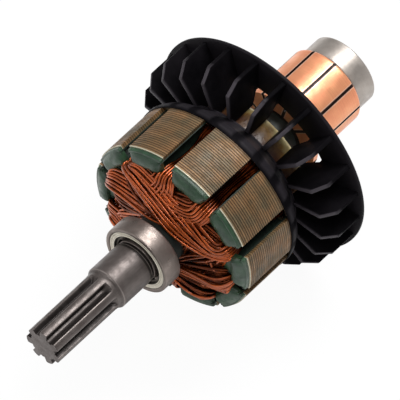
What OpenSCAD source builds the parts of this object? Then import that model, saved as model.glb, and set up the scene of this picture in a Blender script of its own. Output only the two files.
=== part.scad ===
// Wound armature of a universal motor: pinion shaft, laminated core, ten coils, cooling fan,
// commutator and the two ball bearings that carry it. Millimetres.
// The shaft lies along Y, the pinion points to -Y and the commutator to +Y.
// The origin is the centre of the front bearing, on the shaft's axis.
// Modules draw along their own +Z, towards the pinion, and along_shaft() lays them on the Y axis.

/* [Shaft] */
// Diameter of the shaft through core, commutator and front bearing
shaft_d = 10; // [9:0.1:11]
// Diameter of the journal in the rear bearing
rear_journal_d = 8; // [7:0.1:8.6]
// Length of the shaft behind the rear bearing
rear_stub_l = 0.6; // [0.3:0.1:3]
// Diameter of the collar in front of the front bearing
collar_d = 13.5; // [12.6:0.1:14.5]
// Length of the collar
collar_l = 12.4; // [8:0.1:20]
// Chamfer on the shaft's turned edges
shaft_chamfer = 0.4; // [0.1:0.05:0.6]

/* [Pinion] */
// Number of pinion teeth
pinion_teeth = 7; // [6:1:9]
// Diameter over the pinion teeth
pinion_d = 12; // [11.5:0.1:12.4]
// Diameter at the bottom of the pinion's valleys
pinion_root_d = 8.2; // [7.6:0.1:9]
// Length of the pinion in front of the collar
pinion_l = 26; // [16:0.5:34]
// Radius of the round bottom of each valley
valley_root_r = 0.85; // [0.6:0.05:1]
// Width of each valley at the tooth tips
valley_mouth_w = 3.3; // [2.6:0.1:3.6]
// Radius of the cutter that leaves the run-out of each valley
runout_r = 4; // [3:0.5:8]
// Angle of the first valley
pinion_phase = 11.1; // [0:0.1:51]

/* [Bearings] */
// Outer diameter of the front bearing
front_bearing_d = 22; // [21.6:0.1:24]
// Width of the front bearing
front_bearing_w = 6; // [5.6:0.1:8]
// Diameter of the front bearing's balls
front_ball_d = 3.2; // [2.8:0.1:3.4]
// Number of balls in the front bearing
front_ball_count = 9; // [7:1:10]
// Outer diameter of the rear bearing
rear_bearing_d = 22; // [21:0.1:24]
// Width of the rear bearing
rear_bearing_w = 7; // [6:0.1:9]
// Diameter of the rear bearing's balls
rear_ball_d = 3.9; // [3.4:0.1:4.1]
// Number of balls in the rear bearing
rear_ball_count = 7; // [6:1:8]
// Radial thickness of the outer races where the shields sit
race_rim = 1.25; // [0.9:0.05:1.4]
// Depth of the ball groove in each race
groove_depth = 0.3; // [0.15:0.01:0.4]
// Thickness of the shields
shield_t = 0.35; // [0.2:0.05:0.5]
// How far the shields lie behind the races' faces
shield_recess = 0.25; // [0.1:0.05:0.5]
// Width of the open ring between each shield and the inner race
shield_gap = 1.3; // [0.6:0.1:1.6]
// Radial thickness of the ball cages
cage_t = 1.3; // [0.8:0.1:1.6]
// Width of the cages beside the balls
cage_side = 0.35; // [0.2:0.05:0.4]
// Radial play of the balls in their grooves
ball_play = 0.03; // [0.02:0.01:0.05]
// Play of the balls in their cage pockets
pocket_play = 0.06; // [0.03:0.01:0.1]

/* [Core] */
// Outer diameter of the lamination stack
core_d = 55.2; // [54.6:0.1:57]
// Length of the lamination stack
core_l = 18.2; // [14:0.1:24]
// Distance from the front bearing's back face to the stack
front_overhang = 9.75; // [9.6:0.05:12]
// Number of core teeth, slots, coils and commutator bars
slot_count = 10; // [10:1:10]
// Width of the parallel body of each core tooth
tooth_w = 5.2; // [4.6:0.1:5.6]
// Width of each slot's opening at the stack's surface
slot_opening_w = 4.3; // [3:0.1:4.8]
// Thickness of the tooth tips at the slot opening
tooth_tip_t = 1.3; // [0.8:0.1:1.6]
// Radius of the bottom of the slots
slot_floor_r = 15.5; // [15:0.1:15.8]
// Angle of the first core tooth
tooth_phase = 3.7; // [0:0.1:36]
// Depth of the fine grooves between laminations
lamination_groove = 0.12; // [0.05:0.01:0.25]
// Number of laminations that show on the stack
lamination_count = 24; // [12:1:30]

/* [Insulation] */
// Thickness of the coating on the core's end faces
end_coat_t = 1.2; // [0.8:0.1:1.4]
// Height of the end caps over the tooth tips
tip_cap_h = 3.5; // [2:0.1:4.5]
// Radial thickness of the end caps over the tooth tips
tip_cap_t = 2.9; // [2.2:0.1:3]
// Step from the stack's surface to the caps
cap_step = 0.3; // [0.1:0.05:0.6]
// Height of the straight foot of the front caps
front_cap_foot_h = 1.6; // [1:0.1:2.4]
// Thickness of the slot liners
liner_t = 0.3; // [0.2:0.05:0.35]
// Thickness of the ring that closes the slots' rear ends
rear_ring_t = 0.6; // [0.4:0.1:1]
// Radial width of the ring that closes the slots' rear ends
rear_ring_w = 1.6; // [1:0.1:2]
// Outer diameter of the sleeve between the core and the front bearing
front_sleeve_d = 15; // [13.4:0.1:15.4]
// Outer diameter of the sleeve between the core and the commutator
rear_sleeve_d = 14.6; // [13:0.1:15.4]

/* [Coils] */
// Thickness of the flat band that each coil makes across the core's ends
band_t = 0.64; // [0.6:0.02:0.68]
// Half width of each coil's band where it passes the shaft
band_half_w = 3.4; // [2.8:0.1:3.5]
// Half width of each coil's band where it leaves the slots
band_exit_half_w = 2.6; // [2:0.1:2.8]
// Distance between the coils' bands along the shaft
layer_pitch = 0.88; // [0.86:0.01:0.9]
// Gap between the front bearing and the nearest coil
coil_bearing_gap = 1.9; // [1.7:0.1:2.1]
// Drop of a band for each millimetre further from the shaft
cone_slope = 0.32; // [0.3:0.01:0.34]
// Radius inside which the bands are flat
cone_start_r = 11; // [10.5:0.1:11.5]
// Radial thickness of a coil's side in its slot
side_t = 3.6; // [3:0.1:3.7]
// Half width of a coil's side at the slot's floor
inner_side_half_w = 2; // [1.6:0.1:2.1]
// Half width of a coil's side at the slot's mouth
outer_side_half_w = 3.1; // [2.4:0.1:3.3]
// Clearance between the bands and the front shaft sleeve
band_clearance = 0.9; // [0.8:0.1:1.1]
// Clearance between a coil's sides and the slot's floor
coil_clearance = 0.45; // [0.3:0.05:0.6]
// Wires that show side by side on each coil
wire_ridges = 6; // [5:1:7]

/* [Rear winding] */
// Outer diameter of the varnished wrap round the rear leads
wrap_d = 39; // [36:0.5:40]
// Inner diameter of the varnished wrap
wrap_bore_d = 27; // [24:0.5:29]
// Distance from the core to the wrap's rear end
wrap_reach = 15.8; // [13:0.1:18]
// Diameter of each lead wire
lead_d = 1; // [0.8:0.05:1.4]

/* [Fan] */
// Outer diameter of the fan
fan_d = 72.2; // [68:0.1:80]
// Diameter of the hole in the fan's plate
fan_hole_d = 51.4; // [50.4:0.1:54]
// Distance from the core to the fan's rear face
fan_reach = 20.4; // [17:0.1:24]
// Thickness of the fan's plate
plate_t = 1.3; // [0.9:0.1:2]
// How far the plate's rim bends back behind its hole
plate_dish = 0.9; // [0.2:0.1:2]
// Number of fan blades
blade_count = 22; // [14:1:26]
// Thickness of the blades
blade_t = 1.25; // [0.8:0.05:1.6]
// Step from the fan's rim to the blades' outer edges
blade_inset = 0.8; // [0.3:0.1:1.5]
// Distance from the core to the blades' front edges
blade_front_gap = 6.3; // [5:0.1:8]
// Length of the blades' corner cut along the shaft
blade_cut_l = 4.1; // [2:0.1:6]
// Width of the blades' corner cut along the radius
blade_cut_w = 3.3; // [2:0.1:6]
// Angle of the first blade
blade_phase = -4.6; // [-16:0.1:16]
// Diameter of the hub's bore, which grips the rear end insulation
hub_bore_d = 50.8; // [50.4:0.1:51.4]
// Thickness of the fan's hub
hub_t = 1.5; // [1:0.1:1.8]
// Diameter of the hub's neck, where it narrows behind the rear end insulation
neck_d = 45.4; // [45:0.1:47]
// Length of the neck behind the blades' front edges
neck_l = 0.8; // [0.4:0.1:1.4]
// Gap between the blades' inner edges and the varnished wrap
blade_wrap_gap = 0.6; // [0.4:0.1:1]

/* [Commutator] */
// Diameter of the track that the brushes run on
commutator_d = 24.6; // [22:0.1:25]
// Diameter over the risers where the leads are joined
riser_d = 27.2; // [26:0.1:28]
// Length of the risers along the shaft
riser_l = 1.8; // [1.2:0.1:3]
// Distance from the core to the risers
commutator_gap = 25; // [22:0.1:30]
// Length of the commutator's bars
commutator_l = 21.8; // [16:0.1:28]
// Gap between neighbouring bars
bar_gap = 0.5; // [0.3:0.05:0.8]
// Depth to which the gaps are undercut below the track
undercut = 0.5; // [0.3:0.1:1.2]
// Thickness of the bars above the moulding
bar_t = 3.6; // [2.5:0.1:3.8]
// Depth of the bars' foot in the moulding
bar_foot_h = 1.1; // [0.6:0.1:1.2]
// Rounding of the bars' rear edge
bar_round = 0.9; // [0.4:0.1:1.4]
// Angle of the first gap between bars
bar_phase = 4; // [0:0.1:36]
// Radial thickness of the commutator's steel bush
bush_t = 0.9; // [0.6:0.05:0.95]
// Gap between the bars and the rear bearing
rear_gap = 0.4; // [0.3:0.05:1]

/* [Hidden] */

$fn = 96;
// Overlap that makes a cut pass cleanly through a face
through = 1;

// Stations along the shaft, measured from the front bearing's centre towards the pinion
front_bearing_front = front_bearing_w / 2;
front_bearing_rear = -front_bearing_w / 2;
collar_front = front_bearing_front + collar_l;
pinion_tip = collar_front + pinion_l;
core_front = front_bearing_rear - front_overhang;
core_rear = core_front - core_l;
core_middle = (core_front + core_rear) / 2;
front_coat = core_front + end_coat_t;
wrap_rear = core_rear - wrap_reach;
hub_front = core_rear - rear_ring_t;
blade_front = core_rear - blade_front_gap;
fan_rear = core_rear - fan_reach;
bar_front = core_rear - commutator_gap;
bar_rear = bar_front - commutator_l;
rear_bearing_front = bar_rear - rear_gap;
rear_bearing_rear = rear_bearing_front - rear_bearing_w;
shaft_rear = rear_bearing_rear - rear_stub_l;

// Radii
shaft_r = shaft_d / 2;
core_r = core_d / 2;
cap_r = core_r - cap_step;
slot_pitch = 360 / slot_count;
slot_ceiling_r = core_r - tooth_tip_t;
hub_bore_r = hub_bore_d / 2;

// Bearing sizes that follow from the shaft, the balls and the housings
front_inner_r = shaft_r + (front_bearing_d / 2 - shaft_r - front_ball_d) / 2 + groove_depth + ball_play;
rear_inner_r = rear_journal_d / 2
    + (rear_bearing_d / 2 - rear_journal_d / 2 - rear_ball_d) / 2 + groove_depth + ball_play;

steel = [0.62, 0.62, 0.63];
dark_steel = [0.45, 0.43, 0.42];
copper = [0.80, 0.50, 0.33];
enamel = [0.72, 0.33, 0.14];
green = [0.22, 0.40, 0.28];
black = [0.10, 0.10, 0.11];
tan_steel = [0.56, 0.48, 0.37];
amber = [0.62, 0.46, 0.20];

// ---- helpers ----

// Lays a shape drawn along +Z on the shaft's line, with +Z pointing to the pinion (-Y)
module along_shaft() {
    rotate([90, 0, 0]) children();
}

// Ring of revolution from one station to another
module ring(outer_r, inner_r, from_z, to_z) {
    rotate_extrude() polygon([[inner_r, from_z], [outer_r, from_z], [outer_r, to_z], [inner_r, to_z]]);
}

// Points of an arc in the plane, for rounded profiles
function arc(cx, cy, r, from_a, to_a, steps = 6) = [
    for (i = [0:steps]) let (a = from_a + (to_a - from_a) * i / steps) [cx + r * cos(a), cy + r * sin(a)]
];

function polar(r, a) = [r * cos(a), r * sin(a)];
function mix(a, b, t) = a * (1 - t) + b * t;

// ---- shaft and pinion ----

// Outline of the turned blank, from the rear end to the pinion's tip
module shaft_blank() {
    c = shaft_chamfer;
    rotate_extrude() polygon([
        [0, shaft_rear], [rear_journal_d / 2 - c, shaft_rear], [rear_journal_d / 2, shaft_rear + c],
        [rear_journal_d / 2, rear_bearing_front], [shaft_r, rear_bearing_front],
        [shaft_r, front_bearing_front], [collar_d / 2, front_bearing_front],
        [collar_d / 2, collar_front - c], [collar_d / 2 - c, collar_front],
        [pinion_d / 2, collar_front], [pinion_d / 2, pinion_tip - c],
        [pinion_d / 2 - c, pinion_tip], [0, pinion_tip]
    ]);
}

// Cross-section of one valley between two pinion teeth, along +X
module valley_section() {
    root_x = pinion_root_d / 2 + valley_root_r;
    reach = pinion_d / 2 + through;
    translate([root_x, 0]) circle(r = valley_root_r, $fn = 32);
    polygon([
        [root_x, -valley_root_r], [pinion_d / 2, -valley_mouth_w / 2], [reach, -valley_mouth_w / 2],
        [reach, valley_mouth_w / 2], [pinion_d / 2, valley_mouth_w / 2], [root_x, valley_root_r]
    ]);
}

// Valley with the curved run-out that its cutter leaves at the collar
module valley_cut() {
    depth = (pinion_d - pinion_root_d) / 2;
    runout_l = sqrt(runout_r * runout_r - (runout_r - depth) * (runout_r - depth));
    start = collar_front + runout_l;
    translate([0, 0, start]) linear_extrude(pinion_tip - start + through) valley_section();
    translate([pinion_root_d / 2 + runout_r, 0, start])
        rotate([90, 0, 0])
            rotate_extrude()
                intersection() {
                    mirror([1, 0]) translate([-pinion_root_d / 2 - runout_r, 0]) valley_section();
                    translate([0, -valley_mouth_w]) square([runout_r + through, 2 * valley_mouth_w]);
                }
}

module shaft() {
    color(dark_steel) along_shaft()
        difference() {
            shaft_blank();
            for (i = [0:pinion_teeth - 1])
                rotate([0, 0, pinion_phase + i * 360 / pinion_teeth]) valley_cut();
        }
}

// ---- ball bearings ----

// Radius of the circle on which the balls' centres lie
function ball_circle_r(outer_d, bore_d) = (outer_d + bore_d) / 4;

// Moves a bearing's parts to its place on the shaft
module at_front_bearing() {
    along_shaft() children();
}

module at_rear_bearing() {
    along_shaft() translate([0, 0, (rear_bearing_front + rear_bearing_rear) / 2]) children();
}

module outer_race(outer_d, bore_d, w, ball_d) {
    r = outer_d / 2;
    seat_r = r - race_rim;
    pitch_r = ball_circle_r(outer_d, bore_d);
    land_r = pitch_r + ball_d / 2 + ball_play - groove_depth;
    seat_z = w / 2 - shield_recess - shield_t;
    c = shaft_chamfer;
    difference() {
        rotate_extrude() polygon([
            [r - c, -w / 2], [r, c - w / 2], [r, w / 2 - c], [r - c, w / 2],
            [seat_r, w / 2], [seat_r, seat_z], [land_r, seat_z],
            [land_r, -seat_z], [seat_r, -seat_z], [seat_r, -w / 2]
        ]);
        rotate_extrude() translate([pitch_r, 0]) circle(r = ball_d / 2 + ball_play);
    }
}

module inner_race(outer_d, bore_d, w, ball_d) {
    pitch_r = ball_circle_r(outer_d, bore_d);
    land_r = pitch_r - ball_d / 2 - ball_play + groove_depth;
    difference() {
        ring(land_r, bore_d / 2, -w / 2, w / 2);
        rotate_extrude() translate([pitch_r, 0]) circle(r = ball_d / 2 + ball_play);
    }
}

module race_balls(outer_d, bore_d, ball_d, count) {
    for (i = [0:count - 1])
        rotate([0, 0, i * 360 / count])
            translate([ball_circle_r(outer_d, bore_d), 0, 0]) sphere(d = ball_d);
}

module ball_cage(outer_d, bore_d, ball_d, count) {
    pitch_r = ball_circle_r(outer_d, bore_d);
    half_w = ball_d / 2 + pocket_play + cage_side;
    difference() {
        ring(pitch_r + cage_t / 2, pitch_r - cage_t / 2, -half_w, half_w);
        for (i = [0:count - 1])
            rotate([0, 0, i * 360 / count]) translate([pitch_r, 0, 0]) rotate([0, 90, 0])
                cylinder(d = ball_d + 2 * pocket_play, h = 2 * cage_t, center = true);
    }
}

// One shield: a flat ring with a shallow rolled bead next to the race
module shield(outer_d, bore_d, w, ball_d) {
    seat_r = outer_d / 2 - race_rim;
    inner_land_r = ball_circle_r(outer_d, bore_d) - ball_d / 2 - ball_play + groove_depth;
    inner_edge_r = inner_land_r + shield_gap;
    bead_w = (seat_r - inner_edge_r) / 5;
    face = w / 2 - shield_recess;
    rotate_extrude() polygon([
        [inner_edge_r, face - shield_t], [seat_r, face - shield_t], [seat_r, face],
        [seat_r - bead_w, face], [seat_r - 2 * bead_w, face - shield_t / 2],
        [seat_r - 3 * bead_w, face - shield_t / 2], [seat_r - 4 * bead_w, face],
        [inner_edge_r, face]
    ]);
}

module front_bearing_outer_race() {
    color(steel) at_front_bearing() outer_race(front_bearing_d, shaft_d, front_bearing_w, front_ball_d);
}

module front_bearing_inner_race() {
    color(steel) at_front_bearing() inner_race(front_bearing_d, shaft_d, front_bearing_w, front_ball_d);
}

module front_bearing_cage() {
    color(tan_steel) at_front_bearing() ball_cage(front_bearing_d, shaft_d, front_ball_d, front_ball_count);
}

module front_bearing_balls() {
    color(steel) at_front_bearing() race_balls(front_bearing_d, shaft_d, front_ball_d, front_ball_count);
}

module front_bearing_front_shield() {
    color(steel) at_front_bearing() shield(front_bearing_d, shaft_d, front_bearing_w, front_ball_d);
}

module front_bearing_rear_shield() {
    color(steel) at_front_bearing()
        mirror([0, 0, 1]) shield(front_bearing_d, shaft_d, front_bearing_w, front_ball_d);
}

module rear_bearing_outer_race() {
    color(steel) at_rear_bearing() outer_race(rear_bearing_d, rear_journal_d, rear_bearing_w, rear_ball_d);
}

module rear_bearing_inner_race() {
    color(steel) at_rear_bearing() inner_race(rear_bearing_d, rear_journal_d, rear_bearing_w, rear_ball_d);
}

module rear_bearing_cage() {
    color(tan_steel) at_rear_bearing()
        ball_cage(rear_bearing_d, rear_journal_d, rear_ball_d, rear_ball_count);
}

module rear_bearing_balls() {
    color(steel) at_rear_bearing() race_balls(rear_bearing_d, rear_journal_d, rear_ball_d, rear_ball_count);
}

module rear_bearing_front_shield() {
    color(steel) at_rear_bearing() shield(rear_bearing_d, rear_journal_d, rear_bearing_w, rear_ball_d);
}

module rear_bearing_rear_shield() {
    color(steel) at_rear_bearing()
        mirror([0, 0, 1]) shield(rear_bearing_d, rear_journal_d, rear_bearing_w, rear_ball_d);
}

// ---- core and insulation ----

// Half width of a slot at radius r, inset from the slot's walls
function slot_half_w(r, inset) = r * tan(slot_pitch / 2) - (tooth_w / 2 + inset) / cos(slot_pitch / 2);

// Outline of one slot along +X without its opening, inset from its walls
function slot_outline(inset) = let (
    floor_r = slot_floor_r + inset,
    corner_r = floor_r + slot_half_w(floor_r, inset) / 3,
    shoulder_r = slot_ceiling_r - tooth_tip_t - inset,
    ceiling_r = slot_ceiling_r - inset,
    side = [
        [floor_r, slot_half_w(floor_r, inset) * 2 / 3], [corner_r, slot_half_w(corner_r, inset)],
        [shoulder_r, slot_half_w(shoulder_r, inset)], [ceiling_r, slot_opening_w / 2 - inset]
    ]
) concat(side, [for (i = [len(side) - 1:-1:0]) [side[i][0], -side[i][1]]]);

// Slot and its opening, through the stack's surface
module slot_section() {
    polygon(slot_outline(0));
    translate([slot_ceiling_r - through, -slot_opening_w / 2])
        square([tooth_tip_t + 2 * through, slot_opening_w]);
}

// Places children at each slot
module at_slots() {
    for (i = [0:slot_count - 1])
        rotate(tooth_phase + (i + 0.5) * slot_pitch) children();
}

// Cross-section of the toothed core, without its shaft hole
module core_section() {
    difference() {
        circle(r = core_r);
        at_slots() slot_section();
    }
}

module core_stack() {
    pitch = core_l / lamination_count;
    color(tan_steel) along_shaft()
        difference() {
            translate([0, 0, core_rear]) linear_extrude(core_l) core_section();
            translate([0, 0, core_rear - through]) cylinder(r = shaft_r, h = core_l + 2 * through);
            for (i = [1:lamination_count - 1])
                translate([0, 0, core_rear + i * pitch])
                    rotate_extrude() polygon([
                        [core_r - lamination_groove, 0], [core_r + through, pitch / 4 + through],
                        [core_r + through, -pitch / 4 - through]
                    ]);
        }
}

// Profile of an end cap: thin over the core's yoke and teeth, tall and rounded over the tooth tips
module cap_profile(bore_r, foot_h, tip_r) {
    wall_r = cap_r - tip_cap_t;
    round_r = (tip_r - wall_r) / 2;
    polygon(concat(
        [[bore_r, 0], [cap_r, 0], [cap_r, foot_h], [tip_r, foot_h]],
        arc(tip_r - round_r, tip_cap_h - round_r, round_r, 0, 90),
        [[wall_r, tip_cap_h], [wall_r - cap_step, end_coat_t], [bore_r, end_coat_t]]
    ));
}

module end_cap(bore_r, foot_h, tip_r) {
    intersection() {
        linear_extrude(tip_cap_h + through) core_section();
        rotate_extrude() cap_profile(bore_r, foot_h, tip_r);
    }
}

module front_end_insulation() {
    color(green) along_shaft() translate([0, 0, core_front])
        end_cap(front_sleeve_d / 2, front_cap_foot_h, cap_r - cap_step);
}

// The rear cap is stepped down to seat the fan's hub, and a thin ring closes the slots
module rear_end_insulation() {
    color(green) along_shaft() translate([0, 0, core_rear]) mirror([0, 0, 1]) {
        end_cap(rear_sleeve_d / 2, rear_ring_t, hub_bore_d / 2);
        linear_extrude(rear_ring_t)
            difference() {
                circle(r = cap_r);
                circle(r = core_r - rear_ring_w);
            }
    }
}

// Bent paper liner in each slot, open at the slot's mouth
module slot_liners() {
    color(green) along_shaft()
        translate([0, 0, core_rear])
            linear_extrude(core_l + end_coat_t)
                at_slots() difference() {
                    polygon(slot_outline(0));
                    polygon(slot_outline(liner_t));
                    translate([slot_ceiling_r - 2 * liner_t, -slot_opening_w / 2 + liner_t])
                        square([tooth_tip_t, slot_opening_w - 2 * liner_t]);
                }
}

module front_shaft_sleeve() {
    color(green) along_shaft() ring(front_sleeve_d / 2, shaft_r, core_front, front_bearing_rear);
}

module rear_shaft_sleeve() {
    color(green) along_shaft() ring(rear_sleeve_d / 2, shaft_r, bar_front, core_rear);
}

// ---- coils ----
// Ten coils span three slots each. Two opposite coils make a layer, and the five layers lie on each
// other as nested cones. Layer 0 is wound last: it lies nearest the bearing and at the slots' mouths.

coil_throw = 3;
layer_count = slot_count / 2;
inner_side_r = slot_floor_r + coil_clearance + side_t / 2;
outer_side_r = inner_side_r + side_t + coil_clearance / 2;
band_top = front_bearing_rear - coil_bearing_gap;

function slot_angle(k) = tooth_phase + (k + 0.5) * slot_pitch;

// A coil's side lies at the slot's mouth when the other coil in the slot was wound before it
function side_is_outer(layer, other) = layer < other % layer_count;

// Height of a layer's middle at radius r, over the core's front face
function band_z(layer, r) = band_top - band_t / 2 - layer * layer_pitch - cone_slope * max(0, r - cone_start_r);

// Section of a coil: ridges of neighbouring wires on the outside, flat on the inside.
// The valleys between the ridges and the width of the flat are shares of the half thickness and width.
ridge_valley = 0.55;
flat_share = 0.75;
// Places along a band, as shares of the way from its slot to its middle; it is at full width at the second
band_stations = [0.35, 0.6, 0.8];
function coil_outline() = concat(
    [for (i = [0:2 * wire_ridges]) [1 - i / wire_ridges, i % 2 == 0 ? ridge_valley : 1]],
    [for (a = [-1:0.5:1]) [a * flat_share, -1]]
);

// One ring of points in a slot or at a bend: centre, half-width vector, half-thickness vector
function section_points(centre, wide, thick) = [for (p = coil_outline()) centre + p[0] * wide + p[1] * thick];

// One ring of points on a layer's cone, at a place in the plan
function band_points(layer, place, across, half_w) = [
    for (p = coil_outline()) let (q = place + p[0] * half_w * across)
        [q[0], q[1], band_z(layer, norm(q)) + p[1] * band_t / 2]
];

// Rings from one slot up its bend and along the band, almost to the band's middle
function half_end_turn(layer, angle, outer, turn) = let (
    side_r = outer ? outer_side_r : inner_side_r,
    side_half_w = outer ? outer_side_half_w : inner_side_half_w,
    radial = polar(1, angle),
    tangent = polar(1, angle + turn * 90),
    start = side_r * radial,
    middle = band_middle(angle, turn),
    run = norm(middle - start),
    ahead = (middle - start) / run,
    across = [turn * ahead[1], -turn * ahead[0]],
    bend = side_t / 2 / run,
    exit_z = band_z(layer, side_r),
    leg_z = min(exit_z - band_t / 2, front_coat),
    side_wide = [tangent[0], tangent[1], 0] * side_half_w,
    side_thick = [radial[0], radial[1], 0] * side_t / 2,
    bend_wide = mix(side_wide, [across[0], across[1], 0] * band_exit_half_w, 0.5),
    bend_thick = mix(side_thick, [0, 0, band_t / 2], 0.5),
    bend_place = mix(start, middle, bend / 4)
) concat([
    section_points([start[0], start[1], core_middle + core_l / 4], side_wide, side_thick),
    section_points([start[0], start[1], leg_z], side_wide, side_thick),
    section_points([bend_place[0], bend_place[1], exit_z - band_t / 3], bend_wide, bend_thick)
], [
    for (t = [bend, each band_stations])
        band_points(layer, mix(start, middle, t), across,
            mix(band_exit_half_w, band_half_w, min(1, t / band_stations[1])))
]);

// Middle of a coil's band, seen from one of its slots
function band_middle(angle, turn) = polar(front_sleeve_d / 2 + band_half_w + band_clearance,
    angle + turn * coil_throw * slot_pitch / 2);

function mirror_ends(rings) = [for (points = rings) [for (p = points) [p[0], p[1], 2 * core_middle - p[2]]]];
function flipped(list) = [for (i = [len(list) - 1:-1:0]) list[i]];

// Closed loop of rings: front end turn, second slot, rear end turn, first slot
function coil_rings(layer, first_slot, last_slot) = let (
    outer_first = side_is_outer(layer, layer + coil_throw),
    outer_last = side_is_outer(layer, layer + layer_count - coil_throw),
    first = half_end_turn(layer, slot_angle(first_slot), outer_first, -1),
    last = half_end_turn(layer, slot_angle(last_slot), outer_last, 1),
    middle = band_middle(slot_angle(first_slot), -1),
    bridge = band_points(layer, middle, middle / norm(middle), band_half_w),
    front = concat(first, [bridge], flipped(last))
) concat(front, flipped(mirror_ends(front)));

module loop_solid(rings) {
    n = len(rings[0]);
    count = len(rings);
    points = [for (points = rings) each points];
    faces = [
        for (i = [0:count - 1]) for (j = [0:n - 1]) let (
            a = i * n + j,
            b = i * n + (j + 1) % n,
            c = ((i + 1) % count) * n + (j + 1) % n,
            d = ((i + 1) % count) * n + j
        ) each [[a, c, b], [a, d, c]]
    ];
    polyhedron(points, faces);
}

// Coil number 1 to 10: the layer and which of its two opposite coils
module coil(number) {
    layer = floor((number - 1) / 2);
    base = layer + layer_count * ((number - 1) % 2);
    color(enamel) along_shaft() loop_solid(coil_rings(layer, base + coil_throw, base));
}

module coil_01() { coil(1); }
module coil_02() { coil(2); }
module coil_03() { coil(3); }
module coil_04() { coil(4); }
module coil_05() { coil(5); }
module coil_06() { coil(6); }
module coil_07() { coil(7); }
module coil_08() { coil(8); }
module coil_09() { coil(9); }
module coil_10() { coil(10); }

// ---- leads and wrap ----

lead_start_r = (wrap_d + wrap_bore_d) / 4;
lead_end_r = riser_d / 2 - lead_d / 2;
// Play of the leads in the wrap and in the risers
lead_fit = 0.02;

// Straight leads from the wrap to the middle of each riser
module lead_cylinders(r) {
    start_z = wrap_rear + lead_d;
    end_z = bar_front - riser_l;
    length = norm([lead_start_r - lead_end_r, start_z - end_z]);
    lean = atan2(lead_start_r - lead_end_r, start_z - end_z);
    for (i = [0:slot_count - 1])
        rotate([0, 0, bar_phase + (i + 0.5) * slot_pitch])
            translate([lead_end_r, 0, end_z])
                rotate([0, lean, 0]) cylinder(r = r, h = length, $fn = 24);
}

module lead_wires() {
    color(enamel) along_shaft() lead_cylinders(lead_d / 2);
}

// Varnished wrap that holds the leads against the rear end turns
module rear_coil_wrap() {
    outer_r = wrap_d / 2;
    inner_r = wrap_bore_d / 2;
    seat = 2 * core_middle - band_z(0, outer_r) - band_t / 2 - lead_fit;
    inner_seat = 2 * core_middle - band_z(0, inner_r) - band_t / 2 - lead_fit;
    round_r = (outer_r - inner_r) / 4;
    color(amber) along_shaft()
        difference() {
            rotate_extrude() polygon(concat(
                [[inner_r, inner_seat], [inner_r, wrap_rear]],
                arc(outer_r - round_r, wrap_rear + round_r, round_r, -90, 0),
                [[outer_r, seat]]
            ));
            lead_cylinders(lead_d / 2 + lead_fit);
        }
}

// ---- fan ----

// One flat blade in the plane of the shaft, as radius against height. It reaches in to the wrap,
// and its inner edge opens behind the wrap to the hole in the plate.
module blade() {
    outer = fan_d / 2 - blade_inset;
    hole = (fan_hole_d + blade_inset) / 2;
    inner = wrap_d / 2 + blade_wrap_gap;
    neck_middle = (neck_d - hub_t) / 2;
    neck_rear = blade_front - neck_l;
    rotate([90, 0, 0]) linear_extrude(blade_t, center = true) polygon([
        [outer, fan_rear + plate_t / 2], [outer, blade_front - blade_cut_l],
        [outer - blade_cut_w, blade_front], [neck_middle, blade_front],
        [neck_middle, neck_rear + neck_l / 2], [inner, neck_rear - neck_l / 2],
        [inner, wrap_rear], [hole, wrap_rear - hub_t], [hole, fan_rear + plate_dish + plate_t]
    ]);
}

// Dished ring behind the blades
module fan_plate() {
    rim = fan_d / 2;
    hole = fan_hole_d / 2;
    shoulder = rim - 3 * blade_inset;
    rotate_extrude() polygon([
        [hole, fan_rear + plate_dish], [shoulder, fan_rear + plate_dish / 2], [rim - plate_t / 2, fan_rear],
        [rim, fan_rear + plate_t / 2], [rim, fan_rear + plate_t], [shoulder, fan_rear + plate_dish / 2 + plate_t],
        [hole, fan_rear + plate_dish + plate_t]
    ]);
}

// Ring that slips over the rear end insulation, narrows to a neck and carries the blades
module fan_hub() {
    seat_rear = core_rear - tip_cap_h;
    neck_r = neck_d / 2;
    neck_front = blade_front + neck_l / 4;
    neck_rear = blade_front - neck_l;
    rotate_extrude() polygon([
        [hub_bore_r, hub_front], [hub_bore_r + hub_t, hub_front], [hub_bore_r + hub_t, seat_rear],
        [neck_r, neck_front], [neck_r, neck_rear], [neck_r - hub_t, neck_rear],
        [neck_r - hub_t, neck_front], [hub_bore_r, seat_rear]
    ]);
}

module fan() {
    color(black) along_shaft() {
        fan_plate();
        fan_hub();
        for (i = [0:blade_count - 1])
            rotate([0, 0, blade_phase + i * 360 / blade_count]) blade();
    }
}

// ---- commutator ----

track_r = commutator_d / 2;
bar_inner_r = track_r - bar_t;
foot_r = bar_inner_r - bar_foot_h;
bush_r = shaft_r + bush_t;

// Profile of a bar: riser, track with a rounded rear edge, and a foot that the moulding grips
module bar_profile() {
    foot_middle = (bar_front + bar_rear) / 2;
    foot_half = commutator_l / 4;
    polygon(concat(
        [[bar_inner_r, bar_front], [riser_d / 2, bar_front], [riser_d / 2, bar_front - riser_l],
         [track_r, bar_front - riser_l - (riser_d / 2 - track_r) / 2]],
        arc(track_r - bar_round, bar_rear + bar_round, bar_round, 0, -90),
        [[bar_inner_r, bar_rear], [bar_inner_r, foot_middle - foot_half + bar_foot_h],
         [foot_r, foot_middle - foot_half], [foot_r, foot_middle + foot_half],
         [bar_inner_r, foot_middle + foot_half - bar_foot_h]]
    ));
}

// Wedge that one bar fills, less half a gap on each side
module bar_wedge() {
    reach = riser_d;
    half = slot_pitch / 2;
    translate([bar_gap / 2 / sin(half), 0])
        polygon([[0, 0], polar(reach, -half), polar(reach, half)]);
}

module bar(number) {
    turn = bar_phase + (number - 0.5) * slot_pitch;
    color(copper) along_shaft()
        difference() {
            intersection() {
                rotate_extrude() bar_profile();
                rotate([0, 0, turn]) translate([0, 0, bar_rear - through])
                    linear_extrude(commutator_l + 2 * through) bar_wedge();
            }
            lead_cylinders(lead_d / 2 + lead_fit);
        }
}

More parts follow.
